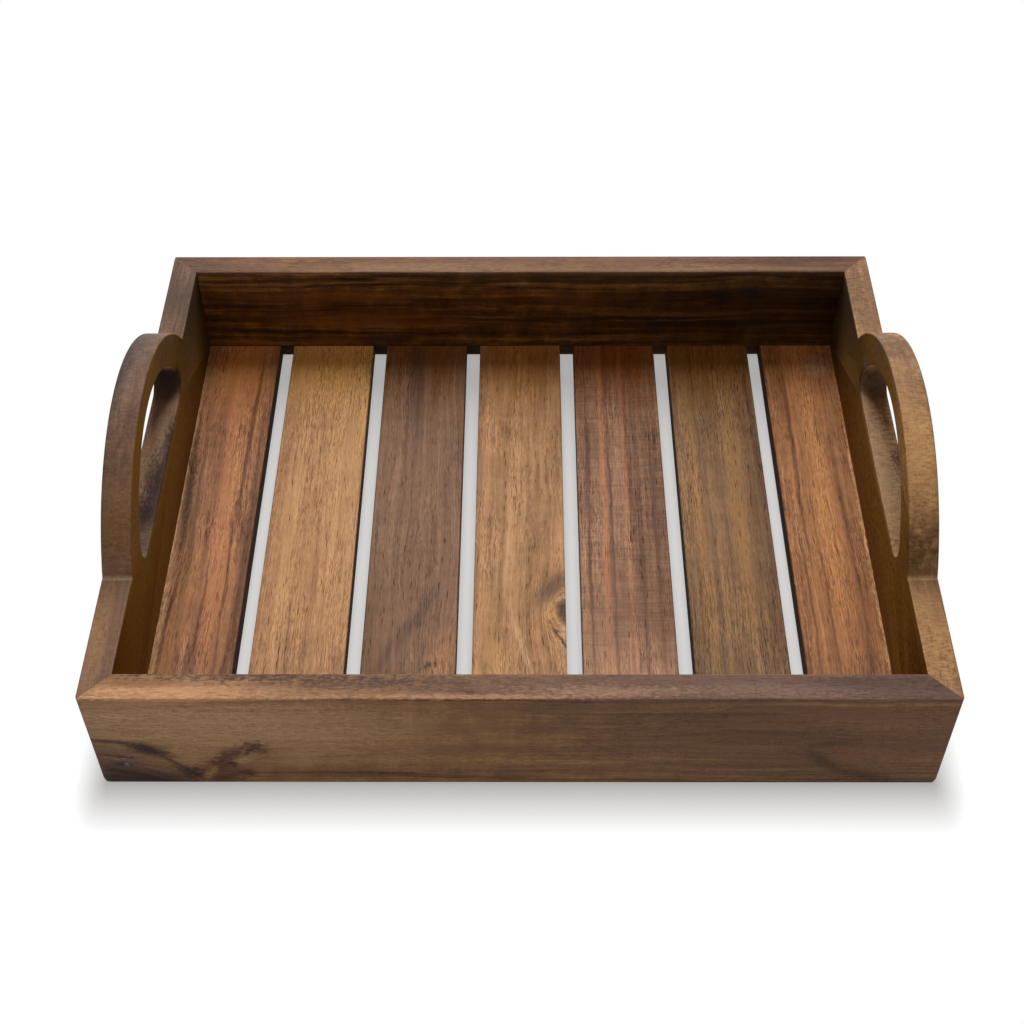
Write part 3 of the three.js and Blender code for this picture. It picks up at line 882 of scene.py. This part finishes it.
handle_looks = {
    "left_handle_board": {
        "tones": ("#4f3b2f", "#705646", "#876a58"),
        # The inner wall is painted deep amber as its shade.
        "panels": [(amber_wall_shade, 0.93, (0, 50, 13), (200, 53, 0.3))],
        "patches": [
            ("#4d3c32", 0.75, (46, 92, 6), (44, 30, 20), 0),
            ("#8a7464", 0.5, (64, 84, 10), (16, 14, 8), 0),
            ("#7a5b3b", 0.8, (-62, 78, 6), (28, 26, 20), 0),
            # Partly the board's tone and partly painted light: the rim is lighter at the front, where the
            # arch shades it.
            ("#967252", 0.75, (-108, 62, 3), (42, 8, 8), 0),
            # Partly the board's tone and partly painted shade: the rim is darker at the back, where the key
            # light falls.
            ("#433328", 0.8, (108, 62, 6), (42, 8, 20), 0),
        ],
        "stains": [
            (smear, 0.8, (26, 49, 12.5), (18, 4, 3.5), 0),
            (smear, 0.7, (-8, 49, 8), (34, 4, 6), 0),
        ],
        "shades": [
            ("#33292a", 0.6, (10, 92, -0.5), (110, 60, 4), 0),
            ("#35302f", 0.75, (24, 98, 0), (56, 30, 11), 0),
            # Painted shade into the back corner of the inner wall.
            (painted_corner_shade, 0.94, (118, 60, 13), (106, 52, 0.8), 0),
            (painted_corner_shade, 0.75, (130, 16, 13), (50, 44, 0.8), 0),
            ("#a5846a", 0.9, (8, 48, 5), (76, 6, 18), 0),
            ("#6a5850", 0.8, (-48, 48, 6), (16, 6, 22), 0),
            # Painted shade in the slot's back end.
            (slot_end_shade, 0.98, (53, 55, 6.5), (12, 14, 20), 0),
            (smear, 0.9, (12, 49, 13), (30, 5, 5), 0),
            (smear, 0.95, (-9, 49, 11.5), (28, 5, 8), 0),
            (smear, 0.95, (-27, 49, 9), (16, 5, 11), 0),
            # Painted highlight: a thin light line across the rim at the arch's front foot.
            ("#a68e78", 0.7, (-76.3, 62, 6.5), (1.6, 3, 20), 0),
        ],
        "weights": {"figure": 0.7, "streak": 0.6, "mottle": 0.2, "curl": 0.15},
        "fine": {"worm": 0.5, "line": 0.2, "fleck": 0.5},
        "sheen": 0.085,
        "grain": 0.6,
        "pores": 0.4,
    },
    "right_handle_board": {
        "tones": ("#75563d", "#916e4d", "#a8845b"),
        # The inner wall is painted deep amber as its shade.
        "panels": [(amber_wall_shade, 0.93, (0, 50, 0), (200, 53, 0.3))],
        "patches": [
            ("#b98f60", 0.85, (-35, 93, 6), (42, 26, 20), 0),
            ("#574022", 0.85, (-72, 72, 6), (22, 20, 20), 0),
            # Partly the board's tone and partly painted light: the rim is lighter at the front, where the
            # arch shades it.
            ("#a47d53", 0.8, (-110, 62, 6), (40, 8, 20), 0),
            # Partly the board's tone and partly painted shade: the rim is darker at the back, where the key
            # light falls.
            ("#765840", 0.8, (108, 62, 6), (42, 8, 20), 0),
            ("#624936", 0.85, (44, 95, 6), (44, 26, 20), 0),
        ],
        "stains": [("#3a2618", 0.75, (5, 47.5, 12), (18, 4, 5), 0)],
        "shades": [
            ("#5d4630", 0.45, (0, 92, 13.5), (110, 60, 3), 0),
            # Painted shade into the back corner of the inner wall.
            (painted_corner_shade, 0.95, (118, 60, 0), (108, 54, 0.8), 0),
            (painted_corner_shade, 0.75, (130, 16, 0), (50, 44, 0.8), 0),
            ("#ac8b6b", 0.85, (4, 48, 6), (78, 6, 22), 0),
            # Painted shade in the slot's back end, weaker here, with a lighter grey laid over its top.
            (slot_end_shade, 0.7, (53, 54, 6.5), (11, 13, 20), 0),
            ("#6a5d52", 0.8, (53, 65, 6.5), (9, 6, 20), 0),
            # Painted highlight: a thin light line across the rim at the arch's front foot.
            ("#b08f6b", 0.7, (-76.3, 62, 6.5), (1.6, 3, 20), 0),
        ],
        "weights": {"curl": 0.25},
        "fine": {"worm": 0.9, "line": 0.15, "fleck": 0.5},
        "sheen": 0.085,
        "grain": 0.75,
        "pores": 0.4,
    },
}
board_woods = {}
for seed, (node, look) in enumerate(rail_looks.items(), start=rail_seed):
    centre = (0, box_mm(node)[0].y, 0)
    board_woods[node] = oiled_acacia(node, "XZY", centre, seed, look)
for seed, (node, look) in enumerate(handle_looks.items(), start=handle_seed):
    centre = (box_mm(node)[0].x, 0, 0)
    board_woods[node] = oiled_acacia(node, "YZX", centre, seed, look)
print("board finishes:", sorted(board_woods))

# %% [markdown]
# ## Metal and hidden wood
# The brads are drawn steel wire, bright but for fine scratches along the shank. The splines inside the
# mitres are plain beech, pale with short flecks. Neither is seen from above, but both are finished, because
# the tray can be turned over or taken apart.

# %% Brad steel and spline beech, with pattern cells as (length, width) in millimetres
scratch_cell = (4.0, 0.15)
scratch_tones = ("#8f9194", "#c4c6c9")
scratch_shine = (0.22, 0.45)
fleck_cell = (3.0, 0.5)
fleck_tones = ("#a57c50", "#c49a6a")
beech_roughness = 0.7


def upright_noise(tree, cell, tones):
    """A noise drawn out along Z, with cells of this size, and the same noise run between two tones."""
    length, width = cell
    place = add_node(tree, "ShaderNodeTexCoord", out="Object")
    scale = (1 / (width * MM), 1 / (width * MM), 1 / (length * MM))
    lines = add_node(tree, "ShaderNodeMapping", {"Vector": place, "Scale": scale})
    noise = add_node(tree, "ShaderNodeTexNoise", {"Vector": lines, "Scale": 1.0, "Detail": noise_detail})
    inputs = {0: noise, 6: linear(tones[0]), 7: linear(tones[1])}
    return noise, add_node(tree, "ShaderNodeMix", inputs, 2, data_type="RGBA")


def drawn_steel():
    """Drawn steel wire: bright grey metal, its shine broken by fine lines along the wire."""
    steel = bpy.data.materials.new("drawn steel wire")
    steel.use_nodes = True
    tree = steel.node_tree
    shader = tree.nodes["Principled BSDF"]
    scratches, colour = upright_noise(tree, scratch_cell, scratch_tones)
    inputs = {"Value": scratches, "To Min": scratch_shine[0], "To Max": scratch_shine[1]}
    shine = add_node(tree, "ShaderNodeMapRange", inputs)
    tree.links.new(colour, shader.inputs["Base Color"])
    tree.links.new(shine, shader.inputs["Roughness"])
    shader.inputs["Metallic"].default_value = 1.0
    return steel


def planed_beech():
    """Planed beech: pale pinkish wood with short darker flecks, left without oil."""
    beech = bpy.data.materials.new("planed beech")
    beech.use_nodes = True
    tree = beech.node_tree
    shader = tree.nodes["Principled BSDF"]
    _, colour = upright_noise(tree, fleck_cell, fleck_tones)
    tree.links.new(colour, shader.inputs["Base Color"])
    shader.inputs["Roughness"].default_value = beech_roughness
    return beech


steel = drawn_steel()
beech = planed_beech()
for node in spline_names:
    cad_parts[node].data.materials.clear()
    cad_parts[node].data.materials.append(beech)
print("finishes:", steel.name, "and", beech.name, "on", len(spline_names), "splines")

# %% [markdown]
# ## From a tree of nodes to a plain mesh
# Geometry Nodes are kept for what repeats or follows a rule. A tree is made once, with named inputs for its
# sizes, and run for each piece. Boolean modifiers then saw and drill the piece, as a maker would. When the
# shape is right, the result is turned into a plain mesh and the modifiers go.

# %% Helpers for pieces
crisp_angle = 40.0


def new_tree(name, sizes):
    """A Geometry Nodes tree with these named inputs. Gives the tree and the outputs that hand them out."""
    tree = bpy.data.node_groups.new(name, "GeometryNodeTree")
    tree.interface.new_socket("Geometry", in_out="OUTPUT", socket_type="NodeSocketGeometry")
    for label, kind in sizes.items():
        tree.interface.new_socket(label, in_out="INPUT", socket_type=f"NodeSocket{kind}")
    return tree, add_node(tree, "NodeGroupInput").node.outputs


def close_tree(tree, geometry, material):
    """Ends a tree: instances become real and the mesh gets its material."""
    real = add_node(tree, "GeometryNodeRealizeInstances", {"Geometry": geometry})
    dressed = add_node(tree, "GeometryNodeSetMaterial", {"Geometry": real, "Material": material})
    add_node(tree, "NodeGroupOutput", {"Geometry": dressed})


def new_piece(name, mesh=None):
    """An object at the origin, with this mesh or an empty one."""
    piece = bpy.data.objects.new(name, mesh or bpy.data.meshes.new(name))
    scene.collection.objects.link(piece)
    return piece


def grow(name, tree, sizes):
    """A piece whose mesh a tree makes from these sizes."""
    piece = new_piece(name)
    growth = piece.modifiers.new("growth", "NODES")
    growth.node_group = tree
    for socket in tree.interface.items_tree:
        if socket.in_out == "INPUT":
            growth[socket.identifier] = sizes[socket.name]
    return piece


def saw(piece, operation, cutter):
    """Cuts a piece with another: DIFFERENCE takes the cutter away, INTERSECT keeps what is inside it."""
    cut = piece.modifiers.new("saw", "BOOLEAN")
    cut.operation = operation
    cut.solver = "EXACT"
    cut.object = cutter
    cutter.hide_render = True


def plain_mesh(piece):
    """What a piece's modifiers or curve show, as a mesh of its own."""
    depsgraph = bpy.context.evaluated_depsgraph_get()
    return bpy.data.meshes.new_from_object(piece.evaluated_get(depsgraph))


def settle(piece):
    """Makes what the modifiers show the piece's own plain mesh, shaded smooth with crisp edges."""
    piece.data = plain_mesh(piece)
    piece.modifiers.clear()
    piece.data.shade_smooth()
    piece.data.set_sharp_from_angle(angle=radians(crisp_angle))
    flats = piece.modifiers.new("flats stay flat", "WEIGHTED_NORMAL")
    flats.keep_sharp = True
    piece.data = plain_mesh(piece)
    piece.modifiers.clear()
    piece.data.name = piece.name
    return piece


def prism(name, outline, low, high):
    """A cutter: a closed outline in X and Y, in millimetres, carried from one height to another."""
    count = len(outline)
    points = [Vector((x, y, z)) * MM for z in (low, high) for x, y in outline]
    sides = [(i, (i + 1) % count, count + (i + 1) % count, count + i) for i in range(count)]
    mesh = bpy.data.meshes.new(name)
    mesh.from_pydata(points, [], [tuple(reversed(range(count))), tuple(range(count, 2 * count)), *sides])
    return new_piece(name, mesh)


print("edges sharper than", crisp_angle, "degrees stay crisp")

# %% [markdown]
# ## Brads
# Two brads in each slat end hold the deck up in its rabbet. A brad is a wire with a flat head and a point.
# A cone and two cylinders would do, but here it is one line whose points each carry a radius, swept by a
# circle: one skin without seams inside. The same tree, with sizes a little larger, gives the drill for the
# holes, so the brads always fit.

# %% Brad tree
brad_sides = 12
brad_lengths = ["Pitch", "Across", "Along", "Foot", "Shoulder", "Neck", "Tip", "Head", "Shank", "Point"]
brad_sizes = {"Slats": "Int", **dict.fromkeys(brad_lengths, "Float"), "Material": "Material"}
brad_tree, given = new_tree("brads", brad_sizes)
heights = add_node(brad_tree, "GeometryNodeIndexSwitch", data_type="FLOAT").node
radii = add_node(brad_tree, "GeometryNodeIndexSwitch", data_type="FLOAT").node
steps = [("Foot", "Head"), ("Shoulder", "Head"), ("Shoulder", "Shank"), ("Neck", "Shank"), ("Tip", "Point")]
for _ in steps[2:]:
    heights.index_switch_items.new()
    radii.index_switch_items.new()
index = add_node(brad_tree, "GeometryNodeInputIndex")
for chooser, column in ((heights, 0), (radii, 1)):
    brad_tree.links.new(index, chooser.inputs["Index"])
    for row, step in enumerate(steps):
        brad_tree.links.new(given[step[column]], chooser.inputs[row + 1])
wire = add_node(brad_tree, "GeometryNodeMeshLine", {"Count": len(steps)})
wire = add_node(brad_tree, "GeometryNodeMeshToCurve", {"Mesh": wire})
upright = add_node(brad_tree, "ShaderNodeCombineXYZ", {2: heights.outputs[0]})
wire = add_node(brad_tree, "GeometryNodeSetPosition", {"Geometry": wire, "Position": upright})
ring = add_node(brad_tree, "GeometryNodeCurvePrimitiveCircle", {"Resolution": brad_sides, "Radius": 1.0})
brad = add_node(
    brad_tree, "GeometryNodeCurveToMesh",
    {"Curve": wire, "Profile Curve": ring, "Scale": radii.outputs[0], "Fill Caps": True},
)
span = add_node(brad_tree, "ShaderNodeMath", {0: given["Slats"], 1: -1.0}, operation="ADD")
start = add_node(brad_tree, "ShaderNodeMath", {0: span, 1: given["Pitch"]}, operation="MULTIPLY")
start = add_node(brad_tree, "ShaderNodeMath", {0: start, 1: -0.5}, operation="MULTIPLY")
first = add_node(brad_tree, "ShaderNodeCombineXYZ", {0: start})
stride = add_node(brad_tree, "ShaderNodeCombineXYZ", {0: given["Pitch"]})
row = add_node(
    brad_tree, "GeometryNodeMeshLine", {"Count": given["Slats"], "Start Location": first, "Offset": stride},
)
four = add_node(
    brad_tree, "GeometryNodeMeshGrid",
    {"Size X": given["Across"], "Size Y": given["Along"], "Vertices X": 2, "Vertices Y": 2},
)
fours = add_node(brad_tree, "GeometryNodeInstanceOnPoints", {"Points": row, "Instance": four})
points = add_node(brad_tree, "GeometryNodeRealizeInstances", {"Geometry": fours})
driven = add_node(brad_tree, "GeometryNodeInstanceOnPoints", {"Points": points, "Instance": brad})
close_tree(brad_tree, driven, given["Material"])
print("brad tree:", len(brad_tree.nodes), "nodes")

# %% Brads and the drill for their holes
brad_low, brad_high = box_mm("brad_front_1")
next_low = box_mm("brad_front_2")[0]
brad_place = (brad_low + brad_high) / 2
head_radius = (brad_high.x - brad_low.x) / 2
shank_radius = 0.65
head_height = 0.7
point_length = 1.8
point_radius = 0.15
drill_clearance = 0.2
drill_overrun = 2.0


def brad_set(name, clearance, overrun):
    """All the brads, or with a clearance and an overrun below, the drill that makes their holes."""
    lengths = {
        "Pitch": slat_middles[1].x - slat_middles[0].x,
        "Across": next_low.x - brad_low.x,
        "Along": -2 * brad_place.y,
        "Foot": brad_low.z - overrun,
        "Shoulder": brad_low.z + head_height + clearance,
        "Neck": brad_high.z - point_length + clearance,
        "Tip": brad_high.z + clearance,
        "Head": head_radius + clearance,
        "Shank": shank_radius + clearance,
        "Point": point_radius + clearance,
    }
    sizes = {label: length * MM for label, length in lengths.items()}
    return settle(grow(name, brad_tree, {**sizes, "Slats": len(slat_names), "Material": steel}))


brads = brad_set("driven_brads", 0.0, 0.0)
drill = brad_set("drill", drill_clearance, drill_overrun)
print("brads:", len(brads.data.polygons), "faces for", len(brad_names), "brads")

# %% [markdown]
# ## Slats
# A slat is a plank with its edges eased by a plane. A Bevel modifier could round a box, but the rule is
# simple enough for nodes: every point of a gridded cube is pulled in to a smaller core box and then pushed
# out again by the easing radius, straight out on the faces and fanning out round the edges.

# %% Slat tree
ease_rows = 3
cube_steps = 3 * ease_rows
ease_share = cube_steps / ease_rows
slat_tree, given = new_tree(
    "eased_plank", {"Size": "Vector", "Middle": "Vector", "Easing": "Float", "Material": "Material"},
)
grid_points = {f"Vertices {axis}": cube_steps + 1 for axis in "XYZ"}
grid = add_node(slat_tree, "GeometryNodeMeshCube", {"Size": (2, 2, 2), **grid_points})
spot = add_node(slat_tree, "GeometryNodeInputPosition")
core = add_node(slat_tree, "ShaderNodeVectorMath", {0: spot, "Scale": ease_share}, operation="SCALE")
core = add_node(slat_tree, "ShaderNodeVectorMath", {0: core, 1: (1, 1, 1)}, operation="MINIMUM")
core = add_node(slat_tree, "ShaderNodeVectorMath", {0: core, 1: (-1, -1, -1)}, operation="MAXIMUM")
inputs = {0: core, 1: (-1 / ease_share, -1 / ease_share, -1 / ease_share), 2: spot}
fan = add_node(slat_tree, "ShaderNodeVectorMath", inputs, operation="MULTIPLY_ADD")
fan = add_node(slat_tree, "ShaderNodeVectorMath", {0: fan}, operation="NORMALIZE")
half = add_node(slat_tree, "ShaderNodeVectorMath", {0: given["Size"], "Scale": 0.5}, operation="SCALE")
half = add_node(slat_tree, "ShaderNodeVectorMath", {0: half, 1: given["Easing"]}, operation="SUBTRACT")
spread = add_node(
    slat_tree, "ShaderNodeVectorMath", {0: core, 1: half, 2: given["Middle"]}, operation="MULTIPLY_ADD",
)
eased = add_node(
    slat_tree, "ShaderNodeVectorMath", {0: fan, 1: given["Easing"], 2: spread}, operation="MULTIPLY_ADD",
)
plank = add_node(slat_tree, "GeometryNodeSetPosition", {"Geometry": grid, "Position": eased})
close_tree(slat_tree, plank, given["Material"])
print("slat tree:", len(slat_tree.nodes), "nodes")

# %% Slats
slats = []
for number, node in enumerate(slat_names):
    sizes = {
        "Size": slat_size * MM,
        "Middle": slat_middles[number] * MM,
        "Easing": slat_arris * MM,
        "Material": slat_woods[number],
    }
    slat = grow(f"oiled_{node}", slat_tree, sizes)
    saw(slat, "DIFFERENCE", drill)
    slats.append(settle(slat))
print("slats:", [len(slat.data.polygons) for slat in slats], "faces")

# %% [markdown]
# ## Rails
# The front and back rails are one section, run through a moulder and mitred. A box could be bevelled for it,
# but a rail is a section and a length, so nodes sweep a rectangle with rounded corners along it. The saws
# then follow the order of the bench: the bed for the deck, the mitres, the rounded standing corner, the
# eased foot, the slots for the splines and the holes for the brads.

# %% Saws
overrun = thickness
plan_steps = 5
foot_steps = 8
weld_distance = 0.01


def arc(centre, radius, start, stop, steps):
    """Points on an arc, ends included."""
    turns = [start + (stop - start) * step / steps for step in range(steps + 1)]
    return [(centre[0] + radius * cos(turn), centre[1] + radius * sin(turn)) for turn in turns]


def rounded_plan():
    """The tray's plan with its four rounded corners."""
    x, y = tray_width / 2 - corner_radius, tray_depth / 2 - corner_radius
    quarters = [((x, y), 0), ((-x, y), pi / 2), ((-x, -y), pi), ((x, -y), 1.5 * pi)]
    corners = [arc(middle, corner_radius, turn, turn + pi / 2, plan_steps) for middle, turn in quarters]
    return [point for corner in corners for point in corner]


def mitre_plan(length, depth):
    """The plan that a board on the -Y side keeps between its mitres, in a frame of this size."""
    outer = -depth / 2 - overrun
    inner = -depth / 2 + thickness + overrun
    wide = length / 2 + overrun - glue_line / 2
    narrow = wide - (inner - outer)
    return [(-wide, outer), (wide, outer), (narrow, inner), (-narrow, inner)]


def foot_outline(across, easing):
    """The frame seen square on, with its lower corners rounded over, as (across, z)."""
    x = across / 2 - easing
    right = arc((x, easing), easing, 1.5 * pi, 2 * pi, foot_steps)
    left = arc((-x, easing), easing, pi, 1.5 * pi, foot_steps)
    return [*left, *right, (across / 2, high_cut), (-across / 2, high_cut)]


low_cut, high_cut = -overrun, crown_height + overrun
bed_x = tray_width / 2 - thickness + rabbet_depth
bed_y = tray_depth / 2 - thickness + rabbet_depth
bed = prism("bed", [(-bed_x, -bed_y), (bed_x, -bed_y), (bed_x, bed_y), (-bed_x, bed_y)], low_cut, deck_top)
corners = prism("corners", rounded_plan(), low_cut, high_cut)
front_plan = mitre_plan(tray_width, tray_depth)
front_mitre = prism("front_mitre", front_plan, low_cut, high_cut)
back_mitre = prism("back_mitre", [(-x, -y) for x, y in front_plan], low_cut, high_cut)
side_plan = mitre_plan(tray_depth, tray_width)
left_mitre = prism("left_mitre", [(y, -x) for x, y in side_plan], low_cut, high_cut)
right_mitre = prism("right_mitre", [(-y, x) for x, y in side_plan], low_cut, high_cut)

long_foot = prism("long_foot", foot_outline(tray_width, end_easing), -tray_depth, tray_depth)
long_foot.data.transform(Matrix(((1, 0, 0, 0), (0, 0, -1, 0), (0, 1, 0, 0), (0, 0, 0, 1))))
cross_foot = prism("cross_foot", foot_outline(tray_depth, foot_easing), -tray_width, tray_width)
cross_foot.data.transform(Matrix(((0, 0, 1, 0), (1, 0, 0, 0), (0, 1, 0, 0), (0, 0, 0, 1))))
feet = [long_foot, cross_foot]

spline_clearance = 0.25
slots = bmesh.new()
for node in spline_names:
    slots.from_mesh(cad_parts[node].data)
bmesh.ops.remove_doubles(slots, verts=slots.verts, dist=weld_distance * MM)
slots.normal_update()
for vert in slots.verts:
    vert.co += vert.normal * spline_clearance * MM
slot_mesh = bpy.data.meshes.new("spline_slots")
slots.to_mesh(slot_mesh)
slots.free()
spline_slots = new_piece("spline_slots", slot_mesh)
saws = [bed, corners, *feet, front_mitre, back_mitre, left_mitre, right_mitre, spline_slots, drill]


def trim(board, mitre):
    """Saws a board to its place in the frame: bed, mitres, standing corners, foot and spline slots."""
    saw(board, "DIFFERENCE", bed)
    for outside in (mitre, corners, *feet):
        saw(board, "INTERSECT", outside)
    saw(board, "DIFFERENCE", spline_slots)


print("saws:", [cutter.name for cutter in saws])

# %% Rail tree
fillet_points = 3
rail_lengths = ["Thickness", "Height", "Length", "Easing"]
rail_sizes = {**dict.fromkeys(rail_lengths, "Float"), "Middle": "Vector", "Material": "Material"}
rail_tree, given = new_tree("moulded_rail", rail_sizes)
section = add_node(
    rail_tree, "GeometryNodeCurvePrimitiveQuadrilateral",
    {"Width": given["Thickness"], "Height": given["Height"]},
)
inputs = {"Curve": section, "Radius": given["Easing"], "Count": fillet_points}
section = add_node(rail_tree, "GeometryNodeFilletCurve", inputs, mode="POLY")
far_end = add_node(rail_tree, "ShaderNodeCombineXYZ", {2: given["Length"]})
run = add_node(rail_tree, "GeometryNodeCurvePrimitiveLine", {"End": far_end})
bar = add_node(
    rail_tree, "GeometryNodeCurveToMesh", {"Curve": run, "Profile Curve": section, "Fill Caps": True},
)
centred = add_node(rail_tree, "ShaderNodeVectorMath", {0: far_end, "Scale": -0.5}, operation="SCALE")
bar = add_node(rail_tree, "GeometryNodeTransform", {"Geometry": bar, "Translation": centred})
bar = add_node(
    rail_tree, "GeometryNodeTransform",
    {"Geometry": bar, "Rotation": (pi / 2, 0, pi / 2), "Translation": given["Middle"]},
)
close_tree(rail_tree, bar, given["Material"])
print("rail tree:", len(rail_tree.nodes), "nodes")

# %% Rails
rails = []
for node, mitre in (("front_rail", front_mitre), ("back_rail", back_mitre)):
    low, high = box_mm(node)
    sizes = {
        "Thickness": thickness * MM,
        "Height": wall_height * MM,
        "Length": (tray_width + 2 * overrun) * MM,
        "Easing": arris * MM,
        "Middle": (low + high) / 2 * MM,
        "Material": board_woods[node],
    }
    rail = grow(f"oiled_{node}", rail_tree, sizes)
    trim(rail, mitre)
    saw(rail, "DIFFERENCE", drill)
    rails.append(settle(rail))
print("rails:", [len(rail.data.polygons) for rail in rails], "faces")

# %% [markdown]
# ## Handle boards
# A handle board is one plank with an arched top and a D-shaped slot for the hand. The slot could be cut from
# a plank with a saw, but its edge would then have to be eased by hand. So the outline and the hole are two
# closed splines of one flat curve. Blender fills such a curve, gives it thickness and eases every edge, the
# slot's too, with the curve's own extrude and bevel, and no cut is needed until the mitres.

# %% Outline of a handle board
arch_rise = crown_height - wall_height
arch_radius = (arch_span ** 2 / 4 + arch_rise ** 2) / (2 * arch_rise)
arch_centre = crown_height - arch_radius
arch_steps = 96
slot_steps = 72
corner_steps = 12
bevel_rows = 2


def board_outline():
    """Foot, rim and arch of a handle board, as (y, z)."""
    end = tray_depth / 2 + overrun
    shoulder = acos(arch_span / 2 / arch_radius)
    arch = arc((0, arch_centre), arch_radius, shoulder, pi - shoulder, arch_steps)
    return [(-end, 0), (end, 0), (end, wall_height), *arch, (-end, wall_height)]


def slot_outline():
    """The D of the hand slot: a long arc over a flat floor, with two round corners, as (y, z)."""
    middle = crown_height - grip_height - slot_radius
    corner_z = wall_height - slot_floor_drop + slot_corner
    corner_y = sqrt((slot_radius - slot_corner) ** 2 - (corner_z - middle) ** 2)
    lean = atan2(corner_z - middle, corner_y)
    crown = arc((0, middle), slot_radius, lean, pi - lean, slot_steps)
    back = arc((corner_y, corner_z), slot_corner, -pi / 2, lean, corner_steps)
    front = arc((-corner_y, corner_z), slot_corner, pi - lean, 1.5 * pi, corner_steps)
    return [*back, *crown[1:], *front[1:]]


print("arch radius", round(arch_radius, 1), "mm, slot", len(slot_outline()), "points")

# %% Handle boards


def handle_board(node, mitre):
    """One arched board, filled and eased as a flat curve, stood up in its place and sawn."""
    low, high = box_mm(node)
    curve = bpy.data.curves.new(node, "CURVE")
    curve.dimensions = "2D"
    curve.fill_mode = "BOTH"
    curve.extrude = (thickness / 2 - arris) * MM
    curve.bevel_depth = arris * MM
    curve.bevel_resolution = bevel_rows
    curve.offset = -arris * MM
    for outline in (board_outline(), slot_outline()):
        spline = curve.splines.new("POLY")
        spline.points.add(len(outline) - 1)
        for point, (y, z) in zip(spline.points, outline):
            point.co = (y * MM, z * MM, 0, 1)
        spline.use_cyclic_u = True
    drawn = new_piece(f"{node}_drawn", curve)
    mesh = plain_mesh(drawn)
    bpy.data.objects.remove(drawn)
    stand_up = Matrix(((0, 0, 1, (low.x + high.x) / 2 * MM), (1, 0, 0, 0), (0, 1, 0, 0), (0, 0, 0, 1)))
    whole = bmesh.new()
    whole.from_mesh(mesh)
    bmesh.ops.remove_doubles(whole, verts=whole.verts, dist=weld_distance * MM)
    whole.transform(stand_up)
    bmesh.ops.recalc_face_normals(whole, faces=whole.faces)
    whole.to_mesh(mesh)
    whole.free()
    mesh.materials.clear()
    mesh.materials.append(board_woods[node])
    piece = new_piece(f"oiled_{node}", mesh)
    trim(piece, mitre)
    return settle(piece)


handles = [handle_board("left_handle_board", left_mitre), handle_board("right_handle_board", right_mitre)]
print("handle boards:", [len(handle.data.polygons) for handle in handles], "faces")

# %% [markdown]
# ## Handing the pieces to the frame
# The saws go, because only the tray is left on the bench. Every piece rides on the tray's one body and
# stands for the CAD node that it dresses, which is hidden.

# %% Ride and replace
for cutter in saws:
    bpy.data.objects.remove(cutter)
for piece, node in zip([*slats, *rails, *handles], [*slat_names, *rail_looks, *handle_looks]):
    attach(piece, "root")
    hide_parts(node)
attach(brads, "root")
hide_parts(*brad_names)

visual_low, visual_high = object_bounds()
sizes = {
    "cad": [list(cad_low), list(cad_high)],
    "visual": [list(visual_low), list(visual_high)],
}
print("visual box in mm", [round(side / MM, 2) for side in visual_high - visual_low])
